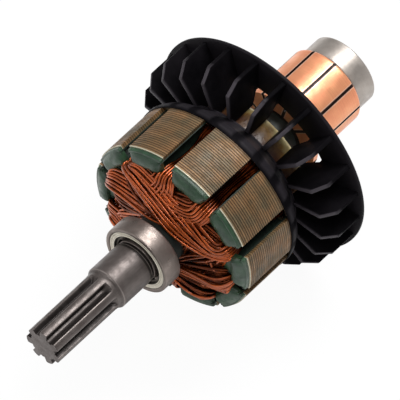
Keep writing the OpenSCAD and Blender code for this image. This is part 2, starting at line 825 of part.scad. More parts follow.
module commutator_bar_01() { bar(1); }
module commutator_bar_02() { bar(2); }
module commutator_bar_03() { bar(3); }
module commutator_bar_04() { bar(4); }
module commutator_bar_05() { bar(5); }
module commutator_bar_06() { bar(6); }
module commutator_bar_07() { bar(7); }
module commutator_bar_08() { bar(8); }
module commutator_bar_09() { bar(9); }
module commutator_bar_10() { bar(10); }

// Moulded body between the bars, undercut below the track
module commutator_moulding() {
    color(black) along_shaft()
        difference() {
            ring(track_r - undercut, bush_r, bar_rear + undercut / 2, bar_front);
            intersection() {
                rotate_extrude() bar_profile();
                translate([0, 0, bar_rear - through])
                    linear_extrude(commutator_l + 2 * through)
                        for (i = [0:slot_count - 1])
                            rotate(bar_phase + (i + 0.5) * slot_pitch) bar_wedge();
            }
        }
}

module commutator_bush() {
    color(steel) along_shaft() ring(bush_r, shaft_r, rear_bearing_front, bar_front);
}

shaft();
front_bearing_outer_race();
front_bearing_inner_race();
front_bearing_cage();
front_bearing_balls();
front_bearing_front_shield();
front_bearing_rear_shield();
rear_bearing_outer_race();
rear_bearing_inner_race();
rear_bearing_cage();
rear_bearing_balls();
rear_bearing_front_shield();
rear_bearing_rear_shield();
front_shaft_sleeve();
rear_shaft_sleeve();
core_stack();
front_end_insulation();
rear_end_insulation();
slot_liners();
coil_01();
coil_02();
coil_03();
coil_04();
coil_05();
coil_06();
coil_07();
coil_08();
coil_09();
coil_10();
rear_coil_wrap();
lead_wires();
fan();
commutator_bar_01();
commutator_bar_02();
commutator_bar_03();
commutator_bar_04();
commutator_bar_05();
commutator_bar_06();
commutator_bar_07();
commutator_bar_08();
commutator_bar_09();
commutator_bar_10();
commutator_moulding();
commutator_bush();
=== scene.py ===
"""Looks of a wound motor armature: windings, core, fan, commutator, shaft and ball bearings.

The shaft lies along Y, the pinion at -Y. Shapes are worked out in millimetres in the shaft's own
frame (x and y across the shaft, station along it towards the pinion) and placed in metres.
"""

import logging
import math
from dataclasses import dataclass
from enum import Enum

import bmesh
import bpy
import numpy as np
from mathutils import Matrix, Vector

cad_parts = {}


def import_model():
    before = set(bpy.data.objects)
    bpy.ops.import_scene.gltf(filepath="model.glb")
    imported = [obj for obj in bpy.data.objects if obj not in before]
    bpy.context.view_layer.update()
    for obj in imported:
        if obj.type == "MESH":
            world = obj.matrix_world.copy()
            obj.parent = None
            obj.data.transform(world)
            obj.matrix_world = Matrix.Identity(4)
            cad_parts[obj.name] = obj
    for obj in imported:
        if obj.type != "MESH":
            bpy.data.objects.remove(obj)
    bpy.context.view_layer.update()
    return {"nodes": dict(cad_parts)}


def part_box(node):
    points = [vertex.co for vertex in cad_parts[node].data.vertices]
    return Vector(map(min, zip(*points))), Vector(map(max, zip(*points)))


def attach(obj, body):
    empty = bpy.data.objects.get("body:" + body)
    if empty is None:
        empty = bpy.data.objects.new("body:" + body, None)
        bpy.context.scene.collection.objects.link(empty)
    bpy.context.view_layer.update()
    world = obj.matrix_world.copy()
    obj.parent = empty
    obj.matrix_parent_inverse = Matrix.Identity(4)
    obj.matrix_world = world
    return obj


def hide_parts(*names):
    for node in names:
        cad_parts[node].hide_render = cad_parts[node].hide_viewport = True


LOG = logging.getLogger("armature")
MM = 0.001
ROTOR = "rotor"
PLAIN_TONE = 0.5
AXIS = np.array([0.0, 0.0, 1.0])

Socket = bpy.types.NodeSocket
Colour = tuple[float, float, float]
Light = tuple[float, float, float, float]


# ---------------------------------------------------------------- placing and meshing


def placed(points: np.ndarray) -> np.ndarray:
    """Turns shaft-frame millimetres (x, y, station) into metres (x, -station, y) of the shared frame.

    Args:
        points: array whose last axis holds x, y and station.

    Returns:
        Array of the same shape.
    """
    return np.stack([points[..., 0], -points[..., 2], points[..., 1]], axis=-1) * MM


def polar(radius: np.ndarray | float, angle: np.ndarray | float, station: np.ndarray | float) -> np.ndarray:
    """Points at a radius, an angle in degrees and a station, in the shaft's own frame."""
    radius, angle, station = np.broadcast_arrays(radius, np.radians(angle), station)
    return np.stack([radius * np.cos(angle), radius * np.sin(angle), station], axis=-1)


def turned(angle: float) -> np.ndarray:
    """Matrix that turns rows of points by an angle in degrees round the shaft."""
    cosine, sine = math.cos(math.radians(angle)), math.sin(math.radians(angle))
    return np.array([[cosine, sine, 0.0], [-sine, cosine, 0.0], [0.0, 0.0, 1.0]])


def unit(vectors: np.ndarray) -> np.ndarray:
    """Vectors scaled to length one along the last axis."""
    return vectors / np.maximum(np.linalg.norm(vectors, axis=-1, keepdims=True), 1e-9)


def grid_faces(rows: int, columns: int, wrap_rows: bool) -> np.ndarray:
    """Quads between neighbouring points of a grid whose rows are closed loops.

    Args:
        rows: number of rows of points.
        columns: number of points in a row.
        wrap_rows: whether the last row joins the first.

    Returns:
        Array of quads, four indices each.
    """
    row = np.arange(rows if wrap_rows else rows - 1)[:, None]
    column = np.arange(columns)[None, :]
    here, ahead = row * columns, (row + 1) % rows * columns
    beside = (column + 1) % columns
    return np.stack([here + column, here + beside, ahead + beside, ahead + column], axis=-1).reshape(-1, 4)


def rounded_profile(corners: np.ndarray, radius: float, steps: int = 3) -> np.ndarray:
    """Rounds each corner of a closed outline: a quadratic curve from a point before it to one after it.

    Args:
        corners: (n, 2) corners in order.
        radius: distance from each corner at which the curve starts, at most a third of an edge.
        steps: number of stretches in each curve.

    Returns:
        (n * (steps + 1), 2) points.
    """
    back = np.roll(corners, 1, axis=0) - corners
    ahead = np.roll(corners, -1, axis=0) - corners
    back_length = np.linalg.norm(back, axis=1, keepdims=True)
    ahead_length = np.linalg.norm(ahead, axis=1, keepdims=True)
    start = corners + back / back_length * np.minimum(radius, back_length / 3)
    end = corners + ahead / ahead_length * np.minimum(radius, ahead_length / 3)
    t = np.linspace(0, 1, steps + 1)[None, :, None]
    curve = start[:, None] * (1 - t) ** 2 + corners[:, None] * 2 * t * (1 - t) + end[:, None] * t**2
    return curve.reshape(-1, 2)


def closed_spline(control: np.ndarray, samples: int) -> np.ndarray:
    """Periodic cubic B-spline through the neighbourhood of control points.

    Each stretch is the sum of four neighbouring controls weighted by the cubic basis
    (1-t)^3/6, (3t^3-6t^2+4)/6, (-3t^3+3t^2+3t+1)/6 and t^3/6.

    Args:
        control: (..., n, 3) control points.
        samples: points worked out on each stretch.

    Returns:
        (..., n * samples, 3) points.
    """
    t = np.linspace(0, 1, samples, endpoint=False)
    basis = [(1 - t) ** 3, 3 * t**3 - 6 * t**2 + 4, -3 * t**3 + 3 * t**2 + 3 * t + 1, t**3]
    neighbours = np.stack([np.roll(control, shift, axis=-2) for shift in (1, 0, -1, -2)])
    curve = np.einsum("ks,k...nd->...nsd", np.stack(basis) / 6, neighbours)
    return curve.reshape(*control.shape[:-2], control.shape[-2] * samples, control.shape[-1])


def tube_rings(path: np.ndarray, up: np.ndarray, radius: float, sides: int) -> np.ndarray:
    """Carries a circle along closed paths: centre + radius * (cos a * normal + sin a * binormal).

    Args:
        path: (..., n, 3) centres.
        up: (..., n, 3) directions that fix how the circle is turned.
        radius: radius of the circle.
        sides: number of points on the circle.

    Returns:
        (..., n, sides, 3) points.
    """
    tangent = unit(np.roll(path, -1, axis=-2) - np.roll(path, 1, axis=-2))
    normal = unit(up - np.sum(up * tangent, axis=-1, keepdims=True) * tangent)
    binormal = np.cross(tangent, normal)
    angle = np.linspace(0, 2 * np.pi, sides, endpoint=False)[:, None]
    circle = normal[..., None, :] * np.cos(angle) + binormal[..., None, :] * np.sin(angle)
    return path[..., None, :] + circle * radius


def turn_outwards(mesh: bpy.types.Mesh) -> None:
    """Turns every closed part of a mesh so that its faces point outwards.

    Args:
        mesh: the mesh to change.
    """
    work = bmesh.new()
    work.from_mesh(mesh)
    bmesh.ops.recalc_face_normals(work, faces=work.faces)
    work.to_mesh(mesh)
    work.free()


def new_object(name: str, data: bpy.types.ID) -> bpy.types.Object:
    """Makes an object of a mesh, a lamp or a camera and puts it into the scene.

    Args:
        name: the object's name.
        data: the mesh, lamp or camera.

    Returns:
        The object.
    """
    made = bpy.data.objects.new(name, data)
    bpy.context.scene.collection.objects.link(made)
    return made


class Shape:
    """Points and faces gathered from several closed surfaces, made into one mesh object."""

    def __init__(self, name: str) -> None:
        """Starts an empty shape.

        Args:
            name: name of the object to be made.
        """
        self.name = name
        self.points: list[np.ndarray] = []
        self.faces: list[list[int]] = []
        self.tones: list[np.ndarray] = []
        self.count = 0

    def add(
        self,
        points: np.ndarray,
        faces: np.ndarray,
        tone: float | np.ndarray,
        caps: tuple[list[int], ...] = (),
    ) -> None:
        """Adds one surface.

        Args:
            points: (..., 3) shaft-frame points in millimetres.
            faces: quads as indices into the points.
            tone: value from 0 to 1 kept on each point for the finish.
            caps: further faces with any number of corners.
        """
        flat = points.reshape(-1, 3)
        self.points.append(flat)
        self.tones.append(np.broadcast_to(tone, points.shape[:-1]).reshape(-1))
        self.faces.extend((faces + self.count).tolist())
        self.faces.extend([index + self.count for index in cap] for cap in caps)
        self.count += len(flat)

    def add_closed_tubes(self, rings: np.ndarray, tones: np.ndarray) -> None:
        """Adds tubes that close on themselves.

        Args:
            rings: (tubes, stations, sides, 3) points.
            tones: (tubes, stations, sides) tone of each point.
        """
        tubes, stations, sides, _ = rings.shape
        offsets = (np.arange(tubes) * stations * sides)[:, None, None]
        faces = grid_faces(stations, sides, True)[None] + offsets
        self.add(rings, faces.reshape(-1, 4), tones)

    def add_revolved(self, profile: np.ndarray, steps: int, tone: float | np.ndarray = PLAIN_TONE) -> None:
        """Turns a closed profile once round the shaft.

        Args:
            profile: (n, 2) points of radius and station.
            steps: number of sections round the shaft.
            tone: tone of all points, or of each one as (steps, n).
        """
        angle = np.linspace(0, 360, steps, endpoint=False)[:, None]
        points = polar(profile[None, :, 0], angle, profile[None, :, 1])
        self.add(points, grid_faces(steps, len(profile), True), tone)

    def add_lofted(self, rings: np.ndarray, tone: float | np.ndarray = PLAIN_TONE) -> None:
        """Joins loops into a tube with a flat cap at each end.

        Args:
            rings: (stations, sides, 3) points.
            tone: tone of all points, or of each one.
        """
        stations, sides, _ = rings.shape
        first = list(range(sides))
        last = [(stations - 1) * sides + side for side in range(sides)]
        self.add(rings, grid_faces(stations, sides, False), tone, (first[::-1], last))

    def build(self, crisp_angle: float) -> bpy.types.Object:
        """Makes the object, with its faces pointing outwards.

        Args:
            crisp_angle: angle in degrees from which the edge between two faces stays crisp.

        Returns:
            The object.
        """
        mesh = bpy.data.meshes.new(self.name)
        mesh.from_pydata(placed(np.concatenate(self.points)), [], self.faces)
        tones = np.concatenate(self.tones).astype(np.float32)
        mesh.attributes.new("tone", "FLOAT", "POINT").data.foreach_set("value", tones)
        turn_outwards(mesh)
        mesh.shade_smooth()
        mesh.set_sharp_from_angle(angle=math.radians(crisp_angle))
        return new_object(self.name, mesh)


# ---------------------------------------------------------------- node graphs


class Graph:
    """Adds and joins nodes in one node tree."""

    def __init__(self, tree: bpy.types.NodeTree) -> None:
        """Works on a tree."""
        self.tree = tree

    def add(self, kind: str, settings: dict[str, object] | None = None, **inputs: object) -> bpy.types.Node:
        """Adds a shader node.

        Args:
            kind: node type without its ShaderNode prefix, or the name of a node group.
            settings: properties of the node.
            inputs: socket names with spaces as underscores, or i0, i1 for places, each a value or a socket.

        Returns:
            The node.
        """
        if kind in bpy.data.node_groups:
            node = self.tree.nodes.new("ShaderNodeGroup")
            node.node_tree = bpy.data.node_groups[kind]
        else:
            node = self.tree.nodes.new("ShaderNode" + kind)
        for name, value in (settings or {}).items():
            setattr(node, name, value)
        for name, value in inputs.items():
            socket = node.inputs[int(name[1:]) if name[1:].isdigit() else name.replace("_", " ")]
            if isinstance(value, Socket):
                self.tree.links.new(value, socket)
            else:
                socket.default_value = value
        return node

    def link(self, value: Socket, node: bpy.types.Node, name: str) -> None:
        """Joins a value to a node's input."""
        self.tree.links.new(value, node.inputs[name])

    def maths(self, operation: str, first: object, second: object = 0.0) -> Socket:
        """Adds a Math node and gives its output."""
        return self.add("Math", {"operation": operation}, i0=first, i1=second).outputs[0]

    def blend(self, factor: object, first: object, second: object, how: str = "MIX") -> Socket:
        """Mixes two colours, which are the Mix node's inputs 6 and 7, and gives its colour output."""
        node = self.add("Mix", {"data_type": "RGBA", "blend_type": how}, i0=factor, i6=first, i7=second)
        return node.outputs[2]

    def ramp(
        self, value: object, low: object, high: object, to_low: float = 0.0, to_high: float = 1.0
    ) -> Socket:
        """Maps a value smoothly from one range to another.

        Args:
            value: the value to map.
            low: start of the range that it comes from.
            high: end of that range.
            to_low: result at the start.
            to_high: result at the end.

        Returns:
            The mapped value.
        """
        ends = {"From_Min": low, "From_Max": high, "To_Min": to_low, "To_Max": to_high}
        return self.add("MapRange", {"interpolation_type": "SMOOTHSTEP"}, Value=value, **ends).outputs[0]

    def grey(self, red: Socket, green: Socket | None = None, blue: Socket | None = None) -> Socket:
        """Makes a colour of one value, or of three that differ a little.

        Args:
            red: share of red.
            green: share of green, or the same as red.
            blue: share of blue, or the same as red.

        Returns:
            The colour.
        """
        green = red if green is None else green
        blue = red if blue is None else blue
        return self.add("CombineColor", i0=red, i1=green, i2=blue).outputs[0]

    def place(self) -> Socket:
        """Gives the position on the object, in metres."""
        return self.add("TexCoord").outputs["Object"]

    def tone(self) -> Socket:
        """Gives the tone that is kept on the mesh."""
        return self.add("Attribute", {"attribute_name": "tone"}).outputs["Fac"]

    def noise(
        self, place: Socket, scale: object, detail: float, rough: float = 0.5, **more: float
    ) -> Socket:
        """Adds a soft noise.

        Args:
            place: where it is read.
            scale: number of waves in a metre.
            detail: number of finer layers.
            rough: strength of the finer layers.
            more: further inputs of the node.

        Returns:
            The noise from 0 to 1.
        """
        node = self.add("TexNoise", Vector=place, Scale=scale, Detail=detail, Roughness=rough, **more)
        return node.outputs[0]

    def noise_along(self, value: Socket) -> Socket:
        """Gives a fine noise that changes along one value only."""
        ways = {"Scale": 1.0, "Detail": 3.0, "Roughness": 0.75}
        return self.add("TexNoise", {"noise_dimensions": "1D"}, W=value, **ways).outputs[0]

    def shade_of(self, number: Socket) -> Socket:
        """Gives a random value from 0 to 1 for a whole number."""
        return self.add("TexWhiteNoise", {"noise_dimensions": "1D"}, W=number).outputs[0]


def cleared_graph(owner: bpy.types.Material | bpy.types.World) -> Graph:
    """Empties the node tree of a material or a world.

    Args:
        owner: the material or the world.

    Returns:
        Its graph.
    """
    owner.use_nodes = True
    owner.node_tree.nodes.clear()
    return Graph(owner.node_tree)


class Effect(Graph):
    """A node group with named numbers that go in, and named numbers over the surface that come out."""

    def __init__(self, name: str, outputs: tuple[str, ...], **inputs: float) -> None:
        """Starts the group.

        Args:
            name: the group's name.
            outputs: names of the outputs.
            inputs: default of each input by its name.
        """
        super().__init__(bpy.data.node_groups.new(name, "ShaderNodeTree"))
        sockets = self.tree.interface
        for label, default in inputs.items():
            socket = sockets.new_socket(name=label, in_out="INPUT", socket_type="NodeSocketFloat")
            socket.default_value = default
        for label in outputs:
            sockets.new_socket(name=label, in_out="OUTPUT", socket_type="NodeSocketFloat")
        self.given = self.tree.nodes.new("NodeGroupInput").outputs
        self.result = self.tree.nodes.new("NodeGroupOutput")

    def give(self, **values: Socket) -> None:
        """Joins each value to the output of its name."""
        for label, value in values.items():
            self.link(value, self.result, label)


def shaft_place_effect() -> None:
    """Shaft Place: radius in metres, angle in radians and station in metres from the front bearing."""
    effect = Effect("Shaft Place", ("Radius", "Angle", "Station"))
    x, y, z = effect.add("SeparateXYZ", Vector=effect.place()).outputs
    squares = effect.maths("ADD", effect.maths("MULTIPLY", x, x), effect.maths("MULTIPLY", z, z))
    effect.give(Radius=effect.maths("SQRT", squares), Angle=effect.maths("ARCTAN2", z, x), Station=y)


def sector_edge_effect() -> None:
    """Sector Edge: distance in metres to the nearest edge of equal sectors, and the sector's number."""
    effect = Effect("Sector Edge", ("Distance", "Number"), Count=10.0, Phase=0.0)
    shaft = effect.add("Shaft Place").outputs
    count = effect.given["Count"]
    turn = effect.maths("MULTIPLY", effect.maths("SUBTRACT", shaft["Angle"], effect.given["Phase"]), count)
    sector = effect.maths("DIVIDE", turn, 2 * math.pi)
    off_middle = effect.maths("ABSOLUTE", effect.maths("SUBTRACT", effect.maths("FRACT", sector), 0.5))
    width = effect.maths("DIVIDE", effect.maths("MULTIPLY", shaft["Radius"], 2 * math.pi), count)
    distance = effect.maths("MULTIPLY", effect.maths("SUBTRACT", 0.5, off_middle), width)
    effect.give(Distance=distance, Number=effect.maths("FLOOR", sector))


def mottle_effect() -> None:
    """Mottle: soft patches of a size in metres."""
    effect = Effect("Mottle", ("Value",), Size=0.003, Soften=0.2)
    noise = effect.noise(effect.place(), effect.maths("DIVIDE", 1.0, effect.given["Size"]), 5.0, 0.6)
    low = effect.maths("SUBTRACT", 0.5, effect.given["Soften"])
    high = effect.maths("ADD", 0.5, effect.given["Soften"])
    effect.give(Value=effect.ramp(noise, low, high))


def round_lines_effect() -> None:
    """Round Lines: turning marks that run round the shaft and wander a little."""
    effect = Effect("Round Lines", ("Value",), Pitch=0.0003)
    station = effect.add("Shaft Place").outputs["Station"]
    wander = effect.noise(effect.place(), 260.0, 1.0)
    line = effect.maths("ADD", effect.maths("DIVIDE", station, effect.given["Pitch"]), wander)
    effect.give(Value=effect.noise_along(line))


def face_lines_effect() -> None:
    """Face Lines: rings round the shaft on a face that lies across it."""
    effect = Effect("Face Lines", ("Value",), Pitch=0.0003)
    radius = effect.add("Shaft Place").outputs["Radius"]
    effect.give(Value=effect.noise_along(effect.maths("DIVIDE", radius, effect.given["Pitch"])))


def length_streaks_effect() -> None:
    """Length Streaks: marks along the shaft, twenty times as long as they are wide."""
    effect = Effect("Length Streaks", ("Value",), Pitch=0.0004)
    x, y, z = effect.add("SeparateXYZ", Vector=effect.place()).outputs
    squeezed = effect.add("CombineXYZ", i0=x, i1=effect.maths("DIVIDE", y, 20.0), i2=z).outputs[0]
    scale = effect.maths("DIVIDE", 1.0, effect.given["Pitch"])
    effect.give(Value=effect.noise(squeezed, scale, 3.0, 0.65))


def scuffs_effect() -> None:
    """Scuffs: ragged spots, more of them as the amount grows."""
    effect = Effect("Scuffs", ("Mask",), Size=0.004, Amount=0.3)
    scale = effect.maths("DIVIDE", 1.0, effect.given["Size"])
    coarse = effect.noise(effect.place(), scale, 8.0, 0.75, Distortion=1.5)
    low = effect.maths("SUBTRACT", 0.72, effect.maths("MULTIPLY", effect.given["Amount"], 0.25))
    effect.give(Mask=effect.ramp(coarse, low, effect.maths("ADD", low, 0.08)))


def build_effects() -> None:
    """Makes the shared effects; the later ones use the first."""
    shaft_place_effect()
    sector_edge_effect()
    mottle_effect()
    round_lines_effect()
    face_lines_effect()
    length_streaks_effect()
    scuffs_effect()


# ---------------------------------------------------------------- finishes


class Lines(Enum):
    """Direction of the fine marks that a finish carries, by the name of its effect."""

    NONE = "none"
    ROUND = "Round Lines"
    FACE = "Face Lines"
    ALONG = "Length Streaks"


# Colours in linear light, with their opacity
# painted shade in the bearing shields' gaps, crease and groove
SHIELD_GAP_SHADE: Light = (0.004, 0.0035, 0.003, 1.0)
# painted shade in the seams between the wrap's lumps
WRAP_SEAM_SHADE: Light = (0.004, 0.002, 0.001, 1.0)
# painted highlight along the commutator bars' edges
BAR_EDGE_HIGHLIGHT: Light = (1.0, 0.78, 0.62, 1.0)


def rgba(colour: Colour) -> Light:
    """A display colour from 0 to 255 as linear light with full opacity.

    Args:
        colour: red, green and blue.

    Returns:
        Red, green, blue and opacity from 0 to 1.
    """
    share = np.array(colour) / 255.0
    linear = np.where(share <= 0.04045, share / 12.92, ((share + 0.055) / 1.055) ** 2.4)
    return (float(linear[0]), float(linear[1]), float(linear[2]), 1.0)


@dataclass(frozen=True)
class Finish:
    """A surface: two mottled colours, fine marks, gloss and relief.

    Attributes:
        name: material name.
        base: main display colour, 0 to 255.
        tint: colour of the mottled areas.
        scuff: colour of the scuffed spots.
        metallic: 0 for an insulator, 1 for bare metal.
        roughness: middle roughness.
        roughness_spread: how far the roughness varies.
        mottle_size: size of the mottled areas in metres.
        lines: direction of the fine marks.
        line_pitch: width of the fine marks in metres.
        line_shade: how much the fine marks darken the colour.
        line_depth: relief of the fine marks in metres.
        grain_size: size of the surface grain in metres.
        grain_depth: relief of the grain in metres.
        scuffs: share of scuffed spots.
        coat: strength of a clear coat.
        coat_roughness: roughness of the clear coat.
        specular: strength of the reflection of an insulator.
    """

    name: str
    base: Colour
    tint: Colour
    scuff: Colour
    metallic: float = 0.0
    roughness: float = 0.5
    roughness_spread: float = 0.1
    mottle_size: float = 0.004
    lines: Lines = Lines.NONE
    line_pitch: float = 0.0002
    line_shade: float = 0.0
    line_depth: float = 0.0
    grain_size: float = 0.0003
    grain_depth: float = 0.00001
    scuffs: float = 0.2
    coat: float = 0.0
    coat_roughness: float = 0.2
    specular: float = 0.5

    def marks(self, graph: Graph) -> Socket:
        """Height of the fine marks, or of a soft noise where they have no direction.

        Args:
            graph: the material's graph.

        Returns:
            The height from 0 to 1.
        """
        if self.lines is Lines.NONE:
            return graph.noise(graph.place(), 1 / self.grain_size, 2.0)
        return graph.add(self.lines.value, Pitch=self.line_pitch).outputs[0]

    def relief(self, graph: Graph, marks: Socket) -> Socket:
        """Surface direction with the marks and the grain pressed into it.

        Args:
            graph: the material's graph.
            marks: height of the fine marks.

        Returns:
            The normal.
        """
        grain = graph.noise(graph.place(), 1 / self.grain_size, 3.0)
        lines = graph.maths("MULTIPLY", marks, self.line_depth)
        height = graph.maths("ADD", lines, graph.maths("MULTIPLY", grain, self.grain_depth))
        return graph.add("Bump", Height=height, Distance=1.0, Strength=1.0).outputs[0]

    def colour(self, graph: Graph, marks: Socket) -> Socket:
        """Mottles the colour, shades it by the marks and scuffs it.

        Args:
            graph: the material's graph.
            marks: height of the fine marks.

        Returns:
            The colour.
        """
        mottle = graph.add("Mottle", Size=self.mottle_size, Soften=0.22).outputs[0]
        colour = graph.blend(mottle, rgba(self.base), rgba(self.tint))
        shade = graph.ramp(marks, 0.3, 0.7, 1.0 - self.line_shade, 1.0 + self.line_shade)
        colour = graph.blend(1.0, colour, graph.grey(shade), "MULTIPLY")
        scuffed = graph.add("Scuffs", Size=self.mottle_size, Amount=self.scuffs).outputs[0]
        return graph.blend(graph.maths("MULTIPLY", scuffed, 0.6), colour, rgba(self.scuff))

    def dull(self, graph: Graph, shader: bpy.types.Node) -> None:
        """Takes gloss away in places; a plain finish keeps it all."""

    def material(self) -> bpy.types.Material:
        """Builds the material, or gives the one that was built before.

        Returns:
            The material.
        """
        label = self.name + "_finish"
        made = bpy.data.materials.get(label)
        if made:
            return made
        made = bpy.data.materials.new(label)
        graph = cleared_graph(made)
        marks = self.marks(graph)
        rough = graph.add("Mottle", Size=self.mottle_size * 0.6, Soften=0.25).outputs[0]
        smoothest, roughest = self.roughness - self.roughness_spread, self.roughness + self.roughness_spread
        shader = graph.add(
            "BsdfPrincipled",
            Base_Color=self.colour(graph, marks),
            Metallic=self.metallic,
            Roughness=graph.ramp(rough, 0.0, 1.0, smoothest, roughest),
            Normal=self.relief(graph, marks),
            Specular_IOR_Level=self.specular,
            Coat_Weight=self.coat,
            Coat_Roughness=self.coat_roughness,
        )
        self.dull(graph, shader)
        graph.add("OutputMaterial", {"is_active_output": True}, Surface=shader.outputs[0])
        return made


@dataclass(frozen=True)
class EnamelFinish(Finish):
    """Enamelled copper wire: each wire has its own tone, and a low tone darkens and dulls it, which paints
    the shade kept in the tone.
    """

    def colour(self, graph: Graph, marks: Socket) -> Socket:
        """Mixes the colours by the tone, then darkens them by it as painted shade.

        Args:
            graph: the material's graph.
            marks: height of the fine marks.

        Returns:
            The colour.
        """
        tone = graph.tone()
        warm = graph.blend(tone, rgba(self.tint), rgba(self.base))
        # painted shade: a low tone darkens the wire's colour
        shade = graph.grey(graph.ramp(tone, 0.0, 0.5, 0.03, 1.0))
        return graph.blend(1.0, graph.blend(0.5, super().colour(graph, marks), warm), shade, "MULTIPLY")

    def dull(self, graph: Graph, shader: bpy.types.Node) -> None:
        """Takes gloss and coat away where the tone is low.

        Args:
            graph: the material's graph.
            shader: the material's shader.
        """
        tone = graph.tone()
        graph.link(graph.ramp(tone, 0.05, 0.5, 0.0, self.specular), shader, "Specular IOR Level")
        graph.link(graph.ramp(tone, 0.05, 0.5, 0.0, self.coat), shader, "Coat Weight")


@dataclass(frozen=True)
class TonedFinish(Finish):
    """A finish whose colour runs from its tint, where the tone is 0, to its base, where it is 1; on the fan
    the tone holds painted shade and painted highlights.
    """

    def colour(self, graph: Graph, marks: Socket) -> Socket:
        """Mixes base and tint by the tone, with a trace of the plain finish.

        Args:
            graph: the material's graph.
            marks: height of the fine marks.

        Returns:
            The colour.
        """
        toned = graph.blend(graph.tone(), rgba(self.tint), rgba(self.base))
        return graph.blend(0.93, super().colour(graph, marks), toned)

    def dull(self, graph: Graph, shader: bpy.types.Node) -> None:
        """Takes the gloss away where the tone is low, in the painted shade."""
        graph.link(graph.maths("MULTIPLY", graph.tone(), self.specular), shader, "Specular IOR Level")


@dataclass(frozen=True)
class ToothedFinish(Finish):
    """Steel with painted shade in the pinion's valleys and the collar's groove, and painted highlights on
    edges, both by the tone kept on the mesh.

    Attributes:
        bright: colour of the painted highlights on edges.
        valley_shade: colour of the painted shade in the valleys.
    """

    # colour of the painted highlights on edges
    bright: Colour = (186, 176, 170)
    # colour of the painted shade in the pinion's valleys and the collar's groove
    valley_shade: Colour = (26, 21, 19)

    def colour(self, graph: Graph, marks: Socket) -> Socket:
        """Paints shade where the tone is below the plain one, and a highlight where it is above.

        Args:
            graph: the material's graph.
            marks: height of the fine marks.

        Returns:
            The colour.
        """
        tone = graph.tone()
        # painted shade where the tone is low
        dark = graph.ramp(tone, 0.0, PLAIN_TONE, 0.93, 0.0)
        # painted highlight where the tone is high
        painted_highlight = graph.ramp(tone, PLAIN_TONE, 1.0, 0.0, 0.8)
        steel = graph.blend(painted_highlight, super().colour(graph, marks), rgba(self.bright))
        return graph.blend(dark, steel, rgba(self.valley_shade))


@dataclass(frozen=True)
class ShieldFinish(Finish):
    """Pressed steel ring: painted shade inside its rolled inner edge, in a crease beside it and in the
    groove where it snaps into the race.

    Attributes:
        roll: radius in metres of the rolled edge.
        groove: radius in metres where the groove starts.
    """

    roll: float = 0.0084
    groove: float = 0.0097

    def dark(self, graph: Graph) -> Socket:
        """Share of painted shade by radius: inside the roll, past the groove and in a crease beside the
        roll.

        Args:
            graph: the material's graph.

        Returns:
            The share from 0 to 1.
        """
        radius = graph.add("Shaft Place").outputs["Radius"]
        inner = graph.ramp(radius, self.roll - 0.0002, self.roll - 0.0001, 0.96, 0.0)
        outer = graph.ramp(radius, self.groove - 0.0001, self.groove, 0.0, 0.95)
        away = graph.maths("ABSOLUTE", graph.maths("SUBTRACT", radius, self.roll + 0.00022))
        crease = graph.ramp(away, 0.00003, 0.0001, 0.6, 0.0)
        return graph.maths("MAXIMUM", graph.maths("MAXIMUM", inner, outer), crease)

    def colour(self, graph: Graph, marks: Socket) -> Socket:
        """Paints shade by radius."""
        return graph.blend(self.dark(graph), super().colour(graph, marks), SHIELD_GAP_SHADE)

    def dull(self, graph: Graph, shader: bpy.types.Node) -> None:
        """Takes the gloss away where the shade is painted."""
        kept = graph.maths("SUBTRACT", 1.0, self.dark(graph))
        graph.link(graph.maths("MULTIPLY", kept, self.specular), shader, "Specular IOR Level")


@dataclass(frozen=True)
class SegmentFinish(Finish):
    """Copper bars: each bar has its own shade, with a dark burnt line and a painted highlight along its
    edges.

    Attributes:
        count: number of bars.
        phase: angle of the first edge in degrees.
        burnt: colour of the lines between bars.
    """

    count: int = 10
    phase: float = 4.0
    burnt: Colour = (44, 18, 10)

    def colour(self, graph: Graph, marks: Socket) -> Socket:
        """Shades each bar and draws its edges.

        Args:
            graph: the material's graph.
            marks: height of the fine marks.

        Returns:
            The colour.
        """
        bar = graph.add("Sector Edge", Count=float(self.count), Phase=math.radians(self.phase)).outputs
        shade = graph.maths("MULTIPLY", graph.shade_of(bar["Number"]), 0.35)
        colour = graph.blend(shade, super().colour(graph, marks), rgba(self.tint))
        # painted highlight along each bar's edge
        edge_highlight = graph.ramp(bar["Distance"], 0.0005, 0.0009, 0.5, 0.0)
        colour = graph.blend(edge_highlight, colour, BAR_EDGE_HIGHLIGHT)
        line = graph.ramp(bar["Distance"], 0.00038, 0.0006, 1.0, 0.0)
        return graph.blend(line, colour, rgba(self.burnt))


@dataclass(frozen=True)
class VarnishFinish(Finish):
    """Varnished lumps of wrapped wire: a painted shadow of the fan's hub in brown in front, amber, then
    cream at the rear edge, with painted shade in the seams.

    Attributes:
        front: station in metres where the painted brown shadow of the hub ends.
        rear: station in metres of the rear edge.
        lumps: number of lumps round the shaft.
        cream: colour of the rear edge.
    """

    front: float = 0.0395
    rear: float = 0.0468
    lumps: int = 20
    cream: Colour = (196, 182, 128)

    def colour(self, graph: Graph, marks: Socket) -> Socket:
        """Runs the colour along the shaft, on a wandering station, out of the painted shadow of the hub,
        and paints shade in the seams.

        Args:
            graph: the material's graph.
            marks: height of the fine marks.

        Returns:
            The colour.
        """
        noise = graph.noise(graph.place(), 220.0, 3.0)
        wander = graph.maths("MULTIPLY", graph.maths("SUBTRACT", noise, 0.5), 0.006)
        station = graph.maths("ADD", graph.add("Shaft Place").outputs["Station"], wander)
        # painted shadow of the fan's hub: the tint at the front, fading rearwards
        amber = graph.ramp(station, self.front, self.rear - 0.003)
        colour = graph.blend(amber, rgba(self.tint), super().colour(graph, marks))
        creamed = graph.ramp(station, self.rear - 0.0035, self.rear - 0.0005, 0.0, 0.9)
        colour = graph.blend(creamed, colour, rgba(self.cream))
        # painted shade in the seams between lumps
        seam = graph.add("Sector Edge", Count=float(self.lumps), Phase=0.1).outputs["Distance"]
        return graph.blend(graph.ramp(seam, 0.0002, 0.0014, 0.92, 0.0), colour, WRAP_SEAM_SHADE)


